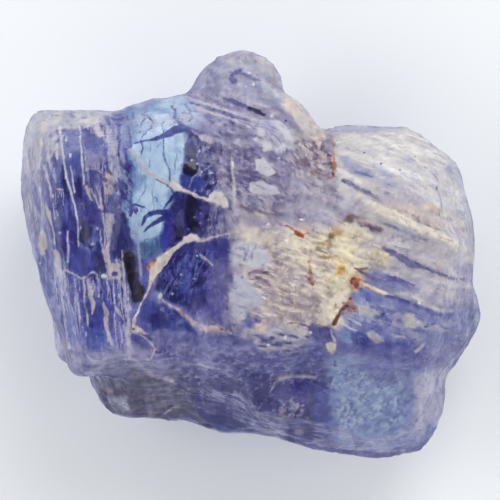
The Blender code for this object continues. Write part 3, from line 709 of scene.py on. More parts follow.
FIBRES: tuple[Marking, ...] = (
    Streaks("pale fibres", 0xE2DAD2, "236,226 300,230 352,232 346,320 262,324 240,290", 0.7, run=(13, 2.6, 42, 0.45)),
    Streaks("mauve fibres low", 0xA696A4, "244,256 300,250 322,296 320,330 256,326", 0.65,
        run=(14, 2.4, 34, 0.38, 0.12)),
    Streaks("plum grain", 0x8A7A8C, "250,280 320,290 322,328 256,324", 0.55, run=(12, 2.6, 11, 0.26, 0.1)),
    Streaks("yellow fibres", 0xF0E6C8, "306,240 345,226 400,246 384,266 348,272 318,270", 0.8, run=(19, 2.4, 46, 0.5)),
    Streaks("umber fibres", 0xC4AC8C, "312,230 350,226 398,250 370,272 322,264", run=(20, 1.8, 38, 0.24, 0.1)),
    Streaks("fibre threads", 0xB2A49E, "262,232 330,234 340,300 262,306", 0.55, run=(12, 1.4, 34, 0.25, 0.09)),
    Spots("fibre whites", 0xEEEEF0, "286.5,240.5,2.6,2 293,285,2.4,1.4,10 264.5,247,1.6,1.4 302,219,2,0.8 "
        "268,225,1.6,2.2,20 264,298,2,1,20 262,259,1.6,1.4", rise=0.01),
    Streaks("fibre dusk", 0x92828C, "244,236 330,238 344,300 322,326 256,324", 0.5, run=(17, 2.6, 13, 0.3, 0.1)),
    Streaks("cream dusk", 0xB09E8C, "306,236 345,226 398,250 366,276 344,318 322,318", 0.4,
        run=(19, 2.4, 12, 0.28, 0.1)),
    Wash("comb patch", 0xBEBECE, "233,246 238,243 256,242 262,250 270,256 271,262 264,268 252,270 246,264 242,264 "
        "240,256 237,264 233,264", rise=0.02, soft=3, ragged=2),
    Streaks("comb gaps", 0x847EAA, "234,246 258,244 262,258 240,266", 0.7, run=(86, 2.2, 8, 0.28, 0.1)),
    Wash("pale slab", 0xBABBCE, "233,277 238,273 245,275 249,283 256,291 263,297 264,303 258,308 247,308 246,318 "
        "240,322 233,314 229,304 229,294 232,288", clear=0, rise=0.03, soft=3, ragged=1.4),
    Spots("slab specks", 0x747094, "238.5,302.5,1.2,1.3 235,288.5,0.9,0.9 242,277,1,2.4 244,289,0.9,0.9", 0.85,
        soft=0.7),
    Vein("slab rim", 0x928EB8, "248,285,0.8 256,293,1 263,299,0.8", 0.6, soft=1.4),
    Vein("plum brushs", 0x765E7C, "249,273,2 256,272,3.4 266,273,2.4 274,277,1; 251,279,1.6 258,279,3 266,282,3.4 "
        "271,286,1.4", 0.75, soft=2),
    Vein("rust thread", 0x8E6860, "273,225,2 281,224,2 288,226,1.8 293,229,1.8 296,232,1.6", ragged=0.4),
    Wash("rust spot", 0x863A1A, "295,230 300,231 304,234 303,238 298,236 295,233", soft=2, ragged=1),
    Vein("rust tail", 0x967A84, "303,234,1.4 308,233,1.6 312,233,1", soft=1.4, ragged=0.4),
    Wash("blush round spot", 0xCEB0A2, "300,222 312,222 312,232 302,232", 0.5, soft=6),
    Spots("umber round", 0x765830, "331.5,236,3,3.2", soft=0.9),
    Spots("umber haze", 0xCEAC70, "336,232,6,6 328,244,5,4", 0.55, soft=1.4),
    Vein("umber dash", 0x9E8054, "321,257,2 327,258,3.4 335,256,2.4", 0.8, soft=2, ragged=0.7),
    Spots("umber small", 0xA48C68, "323.5,243,3,1.6,-30 318.5,248,3,2 330,247,3,1.6,-20", 0.6, soft=1),
    Vein("blush line", 0xAE8276, "309,260,2 310,268,2 310,276,3 312,285,4", 0.75, soft=1.8, ragged=0.7),
    Spots("blush dark", 0x7C5254, "309.5,279.5,1.6,1.8 312.5,284.5,1.8,1.2,20", 0.8, soft=0.9),
    Wash("straw", 0xDEBC70, "337,263 346,262 348,270 342,277 336,272", 0.85, ragged=2.6),
    Spots("straw deep", 0xD4A046, "341,267,3.6,2.6 339,272,2.4,2", 0.85, soft=1),
    Wash("pale straw", 0xE4DCB0, "326,276 348,276 350,290 334,290", 0.6, soft=8),
    Spots("ochre dash", 0xCEB078, "330,281,4,1.8,5", 0.6, soft=1),
    Wash("fibre grey", 0x968A96, "302,296 318,294 322,308 306,310", 0.7, soft=7, patchy=0.8, size=5),
    Wash("brown wedge", 0x8C7058, "343,219 350,213 358,216 350,222", 0.85, soft=4, ragged=2),
    Wash("first rust halo", 0xCEA486, "346,276 358,272 366,282 362,292 350,290", 0.7, ragged=2.4),
    Wash("first rust", 0x98482A, "350,279 355,276 361,279 362,284 356,288 351,284", rise=0.01, soft=2.6, ragged=1.8,
        patchy=0.5, size=3),
    Spots("first rust heart", 0x7A2E1A, "353,279,2,1.6 357.5,285,2,1.4,20 351.5,283.5,1.2,1"),
    Wash("second rust", 0xAC684A, "347,302 351,297 356,301 357,309 351,313 346,309", rise=0.01, soft=2.8, ragged=1.8,
        patchy=0.6, size=3),
    Spots("second rust heart", 0x8A361C, "350.5,298.5,2,1.6 346.5,306.5,2.4,2,-40 354,309,1.6,1.4", soft=0.9),
    Vein("dark rust", 0x683222, "348,305,2 342,309,3.4 339,315,3.8 335,321,4.4 333,325,2", rise=-0.01, soft=1.8,
        ragged=0.7),
    Spots("dark rust blue", 0x6E74AC, "343.5,312.5,1.8,2.4,20", soft=0.7),
    Spots("rust flecks", 0xB0603E, "336.5,305,1.2,1 343.5,303,1.4,1 364,289,2,1.2,20", 0.7),
)

RIGHT: tuple[Marking, ...] = (
    Wash("right rim top", 0xA6A9C2, "330,120 352,118 378,122 410,116 428,132 408,130 384,130 366,133 346,134 334,136",
        0.85, soft=4.4, ragged=1.8),
    # Partly frosted white, partly a painted highlight where the right block curves up toward the light.
    Streaks("right whites", 0xE4E3E4, "366,134 420,134 460,176 468,216 420,204 380,170", 0.75,
        run=(24, 4, 34, 0.5, 0.2)),
    Streaks("right lilacs", 0xBAB8CE, "340,150 400,150 464,190 476,236 400,214 348,190", 0.65, run=(23, 3, 30, 0.36)),
    Streaks("right greys", 0xC4C2C8, "420,150 462,180 476,230 440,220 420,180", 0.5, run=(30, 3.4, 18, 0.45)),
    # Partly frosted rim, partly a painted highlight along the block's rounded right edge.
    Wash("right edge", 0xBABCD0, "446,140 462,164 478,200 486,240 480,262 470,240 462,200 448,160", 0.75, soft=9),
    Wash("stripe one", 0x9296BE, "340,157 349,158 366,169 379,176 371,179 358,175 343,168", 0.75, clear=0.25, soft=3.4,
        ragged=1.8),
    Vein("stripe one deep", 0x7474A6, "356,171,2 364,174,2.6 372,177,1.4", soft=1.8),
    Vein("stripe one line", 0x948CA4, "352,163,1 364,169,1.4 376,173,1.2 394,177,0.8", 0.8, ragged=0.4),
    Streaks("stripe one tail", 0xA8A8C6, "372,168 404,170 420,184 384,186", 0.7, run=(23, 3, 20, 0.55)),
    Vein("pale stripes", 0xDDD5D2, "337,169,2.4 348,174,4 360,180,4 374,187,3.4; 355,227,0.8 357,223,1.2 360,220,0.8",
        soft=2, ragged=0.4),
    Vein("stripe two", 0x706E98, "343,180,3 350,184,4.6 358,188,4.6 366,192,4.4 374,196,3.4 378,200,1.6", 0.75,
        clear=0.3, soft=2, ragged=1),
    Vein("stripe two tail", 0x8C88AC, "376,198,3 386,202,2.6 396,204,2 384,192,2 398,197,2", 0.75, soft=2, ragged=0.6),
    Streaks("stripe two mist", 0x9E9ABA, "374,184 412,190 430,206 386,206", 0.7, run=(23, 3, 16, 0.5)),
    Spots("cream bead", 0xDED0B2, "359.5,194.5,1.8,2.6"),
    Vein("rust seam", 0xB08C7C, "331,136,1.4 334,144,1.8 333,152,2 335,160,2 335,170,2 332,178,1.4", soft=1.7),
    Vein("rust seam bright", 0xB27254, "334,158,2 335,164,3 335,169,1.6", 0.85, ragged=0.4),
    Spots("seam red", 0x8E4A42, "333,174.5,1.4,2 332,164,1,2"),
    Wash("seam grey", 0x88849E, "324,134 332,132 333,150 326,152", 0.7, soft=4, ragged=2),
    Streaks("beige band", 0xC8BDBE, "378,200 420,200 470,226 470,244 430,230 390,214", 0.75, run=(23, 3, 26, 0.55)),
    Spots("peach stain", 0xD8BEA2, "437,210,7,3.4,12 428,207.5,5,2.6", 0.75, soft=1.2),
    Vein("mauve lines", 0xA1929B, "400,214,1.4 414,220,2 430,227,1.8 446,231,1; 436,214,2 444,218,2.4 452,219,1", 0.7,
        soft=1.6, ragged=0.6),
    Vein("cream streak far", 0xD8D2CC, "452,246,6 462,252,7 468,262,5", 0.8, soft=4, ragged=0.4),
    Streaks("white gaps", 0xD8D6DE, "370,228 392,226 420,244 430,256 400,252 380,240", 0.75, run=(24, 2.6, 14)),
    Vein("thin line", 0x928EAA, "396,247,1 404,249,2 412,252,2 418,253,1", 0.85, soft=1.4, ragged=0.4),
    Vein("dark streaks", 0x6A6691, "384,248,3 390,251,5.4 396,256,4.6 402,259,6.6 410,263,8 416,266,6 422,267,2.4; "
        "421,267,2 430,270,3.4 440,274,3.4 452,278,3 466,280,2.6 476,282,2", clear=0.25, soft=2.2),
    Wash("right end violet", 0x948EB6, "452,266 478,262 480,280 458,278", 0.8, soft=6, ragged=3),
    Spots("yellow bead", 0xDAB874, "438,266,2.6,1.6,20", soft=0.9),
    Spots("brown bead", 0xBE8C70, "438.5,269.5,2,0.9,10 414.5,278,1.2,1", 0.8),
    Streaks("lower lilacs", 0xA09AB6, "366,262 430,270 480,286 482,316 430,304 384,288", 0.7, run=(16, 3, 26, 0.45)),
    Streaks("lower creams", 0xD4CECE, "384,262 430,274 476,286 474,300 420,298 384,284", 0.7, run=(15, 2.6, 26, 0.35)),
    Vein("pale runs", 0xD0CCCF, "436,282,4 450,284,5 464,286,4 474,288,2; 397,293,3 408,296,5 420,301,5 436,309,3.4 "
        "452,312,2", 0.8, soft=2.6, ragged=0.4),
    Wash("blue mist", 0x8082B6, "364,274 382,274 424,288 418,294 392,290 372,286", 0.9, clear=0.15, ragged=3),
    Streaks("blue mist deep", 0x68649E, "364,272 392,274 420,286 384,290", 0.75, run=(19, 2.2, 14, 0.35, 0.1)),
    Vein("blue dash", 0x5C5A98, "391,277,3 398,279,3.4 406,282,3 415,285,2", 0.85, soft=1.8, ragged=0.6),
    Spots("blue dash eye", 0x504C82, "394.5,278,2.6,1.8", 0.8),
    Vein("plum quill", 0x685274, "355,268,1 361,271,2.6 367,275,3 373,280,1.4", soft=1.6),
    Vein("plum quill red", 0x966058, "356,268,1.4 363,269,1.4 368,268,1", 0.85, soft=1.3),
    Vein("peach quill", 0xE4CEB8, "361,282,3 370,287,4 380,291,3.6 389,295,2.4 396,296,1", rise=0.015, soft=2,
        ragged=0.4),
    Spots("peach quill rust", 0xBA805C, "391,296,3.4,1,12 368,289,1.6,1.2,20", 0.8),
    Vein("stripe three", 0x5860A6, "387,296,3 396,299,4 406,303,5 416,307,4.6 426,311,4.6 438,315,4 452,315,3 "
        "464,313,2", clear=0.3, rise=-0.01, soft=1.8, ragged=0.8),
    Spots("white bead right", T.WHITE, "419.5,303.5,1.8,1.3,20", rise=0.02, soft=0.6),
    Wash("royal side", 0x5A66B2, "359,288 368,290 370,300 362,304 358,298", clear=0.3, gloss=0.7, soft=4, ragged=2),
    Streaks("field pale", 0xB0B4D4, "362,296 386,298 400,312 380,322 352,326 350,316", 0.85,
        run=(18, 2.2, 14, 0.4, 0.1)),
    Streaks("field royal", 0x4E54A4, "356,312 396,306 470,330 440,350 360,350 342,334", 0.5, clear=0.4, gloss=0.6,
        run=(14, 3.4, 12, 0.42)),
    Streaks("field lilac", 0xA4A4C4, "386,306 440,316 478,322 470,346 420,344 380,330", 0.85,
        run=(12, 3.2, 12, 0.4, 0.12)),
    Wash("field wedges", 0xC9C5C6, "356,305 368,307 380,316 371,317 358,314; 404,315 408,312 415,313 417,319 426,322 "
        "427,325 419,326 414,329 407,326 401,320", 0.85, rise=0.02, soft=2.4, ragged=1.2),
    Vein("white slashs", 0xC8CBDC, "346,318,1 354,321,2 361,325,1.2; 342,324,1 350,328,2 357,331,1", soft=1.4,
        ragged=0.4),
    Wash("teal corner", 0x7E96C4, "338,334 350,333 352,342 341,343", soft=4, ragged=2.4),
    Wash("field night", 0x424A94, "352,332 362,332 372,340 370,347 352,346", clear=0.5, gloss=0.8, soft=4, ragged=2.4),
    Wash("flake two", 0xB8B1BC, "366,332 373,331 381,336 384,341 376,343 370,338", 0.8, rise=0.025, soft=2.4,
        ragged=1.8),
    Vein("flakes", 0xB5AFC3, "391,335,2 399,337,3 406,338,1.4; 427,340,2 422,346,4 416,352,3", soft=1.8),
    Spots("flake pits", 0x3E3E74, "426,326.5,1.6,1.1 384,314,2,1.6 472,317,2,3", 0.8),
    Wash("right low blue", 0x6C76B2, "426,334 452,332 462,338 440,346 426,344", 0.7, soft=6),
    Streaks("right low sheen", 0x9698BC, "430,340 482,320 478,346 448,370 424,368", 0.55, run=(150, 7, 20, 0.4, 0.24)),
    Wash("right tips", 0xAAAAC8, "474,312 485,316 486,326 477,328; 442,166 452,166 452,174 446,176", 0.8, soft=4),
    Vein("umber above", 0xB2A4A2, "372,199,3 388,205,4 404,212,4 420,219,4 440,227,3", 0.75, soft=2, ragged=0.6),
    Vein("cream streak", 0xE4DBD0, "364,201,4 374,206,8 386,211,9 396,217,9 407,222,9 420,228,8 432,233,8 444,237,7 "
        "456,243,7 466,249,5", rise=0.02, soft=2.4, ragged=0.3),
    Vein("umber edge", 0x968482, "352,214,4 358,219,6 366,224,6.6 374,228,6 381,230,2.6", 0.9, soft=2.2, ragged=1.1),
    Vein("umber edge plum", 0x6C5C7C, "366,225,2.4 374,228,3.4 380,230,2", soft=1.6),
    Vein("grey streak", 0x8684A4, "386,224,2 396,228,3.4 408,233,4 418,238,4.6 427,241,2", 0.9, soft=2, ragged=0.6),
    Spots("block specks", 0x787684, "400,170,1.2,1 381,163.5,1.3,1 437,188.5,1.4,1.1 413,215.5,1.2,1.2 429,225.5,1.3,1 "
        "364,152.5,1.1,0.9 391.5,184.5,1,0.9 415,156,0.9,0.9 370,241,1,0.9 457.5,298,1,0.9 448,301.5,0.9,0.9", 0.85),
)

LOWER: tuple[Marking, ...] = (
    Streaks("ridge sheen", 0x8C8CC0, "160,342 260,344 262,372 160,372", 0.7, run=(168, 3.6, 10, 0.45, 0.2)),
    Streaks("ridge lines", 0x585696, "150,346 330,350 330,376 160,378", run=(170, 2.2, 9, 0.28, 0.12)),
    Streaks("foot lines", 0x706C9E, "48,346 150,350 150,368 60,366", 0.65, run=(6, 1.8, 8, 0.32, 0.1)),
    Streaks("foot bloom", 0xB8B0C8, "50,340 160,346 160,372 70,370", 0.5, run=(4, 4, 8, 0.36)),
    Streaks("ridge crumbs", 0x9C9AC6, "150,344 330,352 330,380 160,382", run=(160, 2.6, 5, 0.3, 0.1)),
    Streaks("ridge hollows", 0x4C4A82, "150,346 330,354 330,384 160,384", run=(175, 3, 8, 0.32, 0.1)),
    # Painted shade: a dark line under the ledge, where the ridge turns down.
    Vein("under ledge dark", 0x464484, "256,351,1.4 280,355,3 300,354,4 316,350,5 328,343,5", 0.8, clear=0.3, soft=3),
    Streaks("ledge bloom", 0xB6B2C0, "252,330 300,328 316,342 306,352 258,351", 0.8, run=(8, 2.4, 12, 0.5, 0.12)),
    Wash("ledge violet", 0x54528A, "310,326 330,326 332,344 316,346", 0.85, clear=0.3, soft=6, ragged=3),
    Spots("ledge peach", 0xD8C4BC, "261,328,6,4.4,10", rise=0.02, ragged=0.5),
    Vein("ledge strokes", 0xB3AEBF, "259,349,2 272,348,3.4 288,347,3.4 302,344,2.4 308,342,1; 274,340,1.4 282,339,2.6 "
        "294,341,2.4 302,339,1.2; 270,331,1.2 284,329,2.6 298,332,2.4 304,335,1", 0.75, rise=0.03, soft=1.8),
    Vein("ledge line", 0x604E64, "287,323,0.8 296,323,1.2 305,326,1.4 312,330,1", 0.85, soft=1.3, ragged=0.4),
    Spots("ledge darks", 0x545078, "281,335,4,1.3,14 295,336.5,4.6,1.4,18 272,338,3,1.4,10 288,343,3,1.2 "
        "301.5,347.5,3,1.2,-14 264,341,3,1.4 277,345,2.6,1 307,337,2.4,1.3,20", 0.75, rise=-0.02, soft=0.7, ragged=0.4),
    Spots("ledge sparks", 0xD6D6E0, "310.5,332.5,1.6,1.6 285,337,1.2,2.2 268,345,1.4,1"),
    Wash("straw smudge", 0x96909E, "241,329 250,330 252,340 242,342", 0.8, ragged=2),
    Wash("cream lump", 0xD8CEC4, "326,345 331,342 336,344 336,350 331,356 326,352", rise=0.03, soft=3, ragged=1.6),
    Vein("cream lump tail", 0xC8BCC0, "331,330,1.6 333,336,2.4 335,341,2", 0.8, soft=1.6, ragged=0.4),
    Spots("panel pit", 0x3A3A68, "335,364.5,1.4,3.4 330.5,381,1.2,4,8"),
    Streaks("white flecks", 0x9694BA, "176,370 300,372 300,420 190,412", run=(140, 2.4, 3.6, 0.22, 0.08)),
    Streaks("dark flecks", 0x3E3A76, "186,372 330,384 330,434 200,418", 0.75, clear=0.5, gloss=0.6,
        run=(130, 3.2, 4.6, 0.36, 0.12)),
    Vein("lens arc", 0xAAA4BC, "270,392,1.2 274,384,2 281,378,3.4 291,375,4 304,376,4 315,378,3", rise=0.05, soft=1.8,
        ragged=0.3),
    Wash("lens dark low", 0x443E8A, "276,386 292,383 314,384 320,396 304,404 276,402", clear=0.45, gloss=0.8, soft=6),
    Streaks("lens flecks", 0xA8A4BE, "278,398 306,400 306,420 280,420", 0.8, run=(140, 2.2, 3.6, 0.3, 0.1)),
    Spots("low pale", 0x8E84A6, "299,432,5,3.6,20 281,412,2,4 301.5,412,2,5,10", 0.85, soft=1),
    Wash("low blue left", 0x5A60A8, "316,388 332,392 336,430 316,428", 0.7, clear=0.35, soft=10, ragged=5),
    Streaks("panel lights", 0xA0B6D8, "332,368 352,362 376,388 404,378 410,430 340,440", 0.75, soft=20,
        run=(112, 3, 9, 0.42, 0.18)),
    Streaks("panel darks", 0x6272AC, "332,366 412,366 412,432 336,438", 0.45, clear=0.4, run=(118, 2.6, 7, 0.3, 0.12)),
    Wash("panel teal", 0x8AA0D2, "332,370 346,366 350,386 344,402 334,400", 0.6, soft=16, ragged=8),
    Streaks("panel crumbs", 0x6C78B8, "330,364 410,366 408,430 334,438", run=(60, 3.2, 4.4, 0.42, 0.1)),
    Streaks("panel sparks", 0xB2C2DE, "334,366 404,368 402,424 336,430", 0.7, run=(118, 1.9, 3.4, 0.24, 0.08)),
    Wash("panel violet low", 0x7074B6, "366,362 404,356 408,376 386,386 368,380", 0.75, soft=9, patchy=0.5),
    Streaks("strip bloom", 0xC0BCD0, "416,374 448,370 448,404 436,430 418,430", run=(105, 5, 14, 0.45)),
    Wash("strip blue", 0x6E78B4, "424,424 438,420 436,436 422,446", 0.8, ragged=3),
    Vein("hem light", 0xA8A8CE, "300,440,1 320,445,2.4 352,449,2.6 390,448,2.2 410,443,1", 0.7, soft=2, ragged=0.6),
    Streaks("lobe bloom", 0x7C7886, "92,370 180,376 192,412 150,420 100,408", 0.7, soft=16, run=(150, 5, 7, 0.4, 0.14)),
    # Partly the lobe's own streaks, partly painted shade on the downward-facing lobe.
    Streaks("lobe deep", 0x46445C, "96,374 190,384 196,424 140,424 102,412", 0.7, soft=16,
        run=(20, 4.6, 7, 0.38, 0.14)),
    Wash("lobe blue", 0x969CB4, "112,399 120,394 128,397 126,408 115,410", 0.85, ragged=2.6),
    Spots("lobe brown", 0x967C82, "108,390,5,2.6,10", 0.8, soft=1.1),
    # Partly the stone's violet, partly painted shadow along the lobe's lower edge.
    Wash("lobe hem", 0x3E3C6C, "96,392 104,398 112,412 140,420 190,418 196,430 120,430 94,410", 0.8, clear=0.3, soft=7,
        ragged=3),
    Vein("lobe pale streak", 0xAAA0B4, "144,372,3 156,376,5 168,379,4 176,383,2", 0.75, soft=3),
    Vein("lobe slash", 0xB0A8BE, "164,414,1 171,409,2 176,407,1", 0.8, soft=1.6, ragged=0.4),
)


@dataclass(frozen=True)
class Skin:
    """What the paint says at each place: colour, see-through share, gloss, height and how worn it is."""
    colour: Numbers
    clear: Numbers
    gloss: Numbers
    rise: Numbers
    worn: Numbers

    @classmethod
    def bare(cls, plan: Numbers) -> "Skin":
        """Make a blank skin.

        Args:
            plan: The places on the plan.

        Returns:
            The skin, one row a place.
        """
        count = len(plan)
        worn = 0.58 + 0.96 * Clouds(61).at(plan, (3.2, 3.2, 9.0))
        return cls(np.full((count, 3), 128.0), np.full(count, 0.15), np.full(count, 0.2), np.zeros(count), worn)

    def lay(self, marking: Marking, plan: Numbers) -> None:
        """Lay one marking over the skin.

        Args:
            marking: What is laid.
            plan: The places on the plan.
        """
        near = np.flatnonzero(marking.near(plan))
        if not len(near):
            return
        cover = np.minimum(marking.cover(plan[near]) * marking.strength * self.worn[near], 1.0)
        self.colour[near] += cover[:, None] * (marking.colour - self.colour[near])
        for layer, value in ((self.clear, marking.clear), (self.gloss, marking.gloss)):
            if value is not None:
                layer[near] += cover * (value - layer[near])
        self.rise[near] += cover * marking.rise

    def blend(self, other: "Skin", share: Numbers) -> "Skin":
        """Mix another skin over this one.

        Args:
            other: The skin on top.
            share: Its share at each place.

        Returns:
            The mixed skin.
        """
        def mix(under: Numbers, over: Numbers) -> Numbers:
            """Mix one layer of the two skins."""
            return under + (share[:, None] if under.ndim == 2 else share) * (over - under)

        layers = (mix(getattr(self, key), getattr(other, key)) for key in ("colour", "clear", "gloss", "rise"))
        return Skin(*layers, self.worn)


@dataclass(frozen=True)
class Sheet:
    """The plan's place over the stone: how a point in metres falls on it."""
    unit: float = 0.027 * MM
    middle: float = 250.0
    eye: Three = (-0.054 * MM, 0.108 * MM, 153.6 * MM)
    level: float = 3.6 * MM

    def project(self, points: Numbers) -> Numbers:
        """Project points onto the plan.

        Args:
            points: Rows of x, y and z in metres.

        Returns:
            Rows of plan x, plan y and height, all in plan units.
        """
        scale = (self.eye[2] - self.level) / (self.eye[2] - points[:, 2]) / self.unit
        return np.stack([self.middle + (points[:, 0] - self.eye[0]) * scale,
                         self.middle - (points[:, 1] - self.eye[1]) * scale, points[:, 2] / self.unit], axis=1)


@dataclass(frozen=True)
class Painting:
    """The stone's colours all over: drawn markings in front, and the same stone's random ones on its sides and back."""
    sheet: Sheet = Sheet()

    def front(self, plan: Numbers) -> Skin:
        """Paint the face that the plan shows.

        Args:
            plan: The places on the plan.

        Returns:
            The skin, one row a place.
        """
        skin, loose, close = Skin.bare(plan), self.bent(plan, 1.0), self.bent(plan, 0.4)
        for marking in WASHES:
            skin.lay(marking, loose)
        for group in (LEFT, WINDOW, MIDDLE, FIBRES, RIGHT, LOWER, CRACKS):
            for marking in group:
                skin.lay(marking, close if isinstance(marking, (Vein, Spots)) else loose)
        return skin

    def mottle(self, skin: Skin, plan: Numbers) -> None:
        """Shade the skin unevenly, as grainy crystal is.

        Args:
            skin: The skin, changed in place.
            plan: The places on the plan.
        """
        coarse, small = self.along_grain(plan, 4.4, 20.0, 501), self.along_grain(plan, 2.0, 7.0, 511)
        crumbs = Clouds(521).at(plan, 4.4)
        pale = eased((skin.colour[:, 2] - 160.0) / 45.0)
        shade = (0.5 * coarse + 0.5 * small + 0.5 * crumbs - 0.75) * (1.0 - 0.7 * pale)
        skin.colour[:] *= 1.0 + shade[:, None] * np.array([1.0, 1.0, 0.78])

    def bent(self, plan: Numbers, share: float) -> Numbers:
        """Bend the plan a little, so that nothing drawn on it keeps a clean edge.

        Args:
            plan: The places on the plan.
            share: How much of the usual bend it gets.

        Returns:
            The bent plan.
        """
        moved = plan.copy()
        for seed, size, reach in ((81, 16.0, 4.0), (83, 3.4, 1.4)):
            for column in (0, 1):
                moved[:, column] += share * reach * (Clouds(seed + column, 2).at(plan, size) - 0.5)
        return moved

    def grain(self, plan: Numbers) -> Numbers:
        """Tell the two crystals' grain apart: 0 in the left one, which runs down the plan, and 1 in the right one."""
        drift = 30.0 * (Clouds(71).at(plan, 60.0) - 0.5)
        return eased((plan[:, 0] + 0.2 * plan[:, 1] + drift - 262.0) / 30.0)

    def along_grain(self, plan: Numbers, across: float, along: float, seed: int, tall: float = 2.0) -> Numbers:
        """Give random streaks that follow each crystal's grain.

        Args:
            plan: The places.
            across: The streaks' width.
            along: Their length.
            seed: The streaks' own seed.
            tall: Their height into the stone, in lengths.

        Returns:
            One shade a place, about 0.5 on average.
        """
        shades = []
        for heading in GRAINS:
            run, side = turned(plan, heading)
            side = side + 5.0 * (Clouds(seed + 2, 2).at(plan, 45.0) - 0.5)
            place = np.stack([run / along, side / across, plan[:, 2] / (tall * along)], axis=1)
            shades.append(Clouds(seed).at(place))
        share = self.grain(plan)
        return shades[0] + share * (shades[1] - shades[0])

    def around(self, plan: Numbers, facing: Numbers) -> Skin:
        """Paint the sides and the back with the same stone's colours, streaks, frost and cracks.

        Args:
            plan: The places.
            facing: How far each one's surface faces the plan, from -1 to 1.

        Returns:
            The skin, one row a place.
        """
        skin, moved = Skin.bare(plan), plan.copy()
        reach = 16.0 + 114.0 * eased(0.2 - facing + 1.2 * (Clouds(361).at(plan, 34.0) - 0.5))
        for column in (0, 1):
            moved[:, column] += reach * (Clouds(351 + column, 2).at(plan, 80.0) - 0.5)
        for marking in WASHES:
            skin.lay(marking, moved)
        streaks, big = self.along_grain(plan, 4.0, 60.0, 301, 0.3), Clouds(311).at(plan, 70.0)
        fine = Clouds(331).at(plan, 9.0)
        frost, crack = Clouds(321).at(plan, 26.0), np.abs(Clouds(341, 2).at(plan, 62.0) - 0.5)
        for tint, cover, clear, gloss, rise in (
            (T.PERIWINKLE, np.full(len(plan), 0.5), 0.2, 0.3, 0.0),
            (T.DEEP_VIOLET, 0.75 * eased((big - 0.48) / 0.1), 0.4, 0.6, 0.0),
            (T.NAVY, 0.7 * eased((streaks - 0.56) / 0.12) * eased((big - 0.46) / 0.1), 0.6, 0.8, -0.01),
            (T.FROST, 0.75 * eased((0.47 - big) / 0.1), 0.08, 0.1, 0.0),
            (T.FROST_WHITE, 0.6 * eased((fine - 0.55) / 0.12), 0.05, 0.1, 0.006),
            (T.LILAC, 0.6 * eased((frost - 0.54) / 0.1), 0.1, 0.1, 0.004),
            (T.BONE, 0.85 * eased((0.009 - crack) / 0.006), 0.0, 0.0, 0.02),
        ):
            skin.colour[:] += cover[:, None] * (parted(tint) - skin.colour)
            skin.clear[:] += cover * (clear - skin.clear)
            skin.gloss[:] += cover * (gloss - skin.gloss)
            skin.rise[:] += cover * rise
        return skin

    def paint(self, points: Numbers, normals: Numbers, mottled: bool = True) -> Skin:
        """Paint the whole stone.

        Args:
            points: The surface's points in metres.
            normals: Its outward directions there.
            mottled: Whether the uneven shade comes on top.

        Returns:
            The skin, one row a point.
        """
        plan = self.sheet.project(points)
        facing = eased((normals[:, 2] - 0.1) / 0.27)
        around = self.around(plan, normals[:, 2])
        ahead = np.flatnonzero(facing > 0.0)
        part = [getattr(around, key)[ahead] for key in around.__dict__]
        front = Skin(*part).blend(self.front(plan[ahead]), facing[ahead])
        for key, whole in around.__dict__.items():
            whole[ahead] = getattr(front, key)
        if mottled:
            self.mottle(around, self.bent(plan, 1.0))
        return around

    def relief(self, points: Numbers, skin: Skin) -> Numbers:
        """Work out how far each point moves out of the plain surface.

        Args:
            points: The surface's points in metres.
            skin: What is painted there.

        Returns:
            The heights in metres.
        """
        plan = self.sheet.project(points)
        frosted = 1.0 - 0.75 * skin.gloss
        ribs = 0.026 * (self.along_grain(plan, 3.2, 46.0, 401) - 0.5)
        ribs += 0.018 * (self.along_grain(plan, 1.8, 14.0, 411) - 0.5)
        lumps = 0.080 * (Clouds(421).at(plan, 16.0) - 0.5) + 0.034 * (Clouds(431, 2).at(plan, 5.0) - 0.5)
        pits = -0.024 * eased((Clouds(441, 2).at(plan, 4.2) - 0.64) / 0.06)
        return MM * (skin.rise + frosted * (ribs + lumps + pits))


@dataclass(frozen=True)
class Frost:
    """The etched, frosted skin's finish."""
    roughness: float = 0.5
    transmission: float = 0.10
    ior: float = 1.69
    specular: float = 0.07
    coat: float = 0.12
    coat_roughness: float = 0.2
    coat_ior: float = 1.5
    bump: float = 0.6
    bump_height: float = 0.014 * MM


@dataclass(frozen=True)
class Glass:
    """The clear, broken faces' finish, and the blue-violet that the stone's depth gives."""
    roughness: float = 0.06
    ior: float = 1.69
    specular: float = 0.12
    bump: float = 0.4
    bump_height: float = 0.010 * MM
    depth_colour: Rgba = (0.06, 0.12, 0.82, 1.0)
    depth: float = 230.0


@dataclass(frozen=True)
class Casts:
    """The colours, in linear light, that the finish lays over the painting's own or multiplies it by."""
    warm: Rgba = (1.04, 0.98, 0.90, 1.0)
    shade: Rgba = (0.36, 0.36, 0.60, 1.0)
    blue_glow: Rgba = (0.52, 0.56, 0.88, 1.0)
    pale_glow: Rgba = (0.82, 0.80, 0.82, 1.0)
    veil: Rgba = (0.46, 0.46, 0.62, 1.0)
    deep: Rgba = (0.075, 0.075, 0.29, 1.0)
    pane: Rgba = (0.78, 0.82, 1.0, 1.0)


@dataclass(frozen=True)
class Texture:
    """The sizes, in metres, of what is too fine for the surface's own shape, and two headings in degrees."""
    fine: float = 0.045 * MM
    broad: float = 0.12 * MM
    mottle: float = 0.24 * MM
    crumb: float = 0.09 * MM
    pit: float = 0.10 * MM
    warmth: float = 0.45 * MM
    cluster: float = 0.5 * MM
    facet: float = 0.75 * MM
    chip: float = 0.24 * MM
    stir: float = 0.3 * MM
    stir_reach: float = 0.10 * MM
    veil: float = 0.8 * MM
    deep: float = 1.2 * MM
    facet_heading: float = 80.0
    deep_heading: float = 70.0


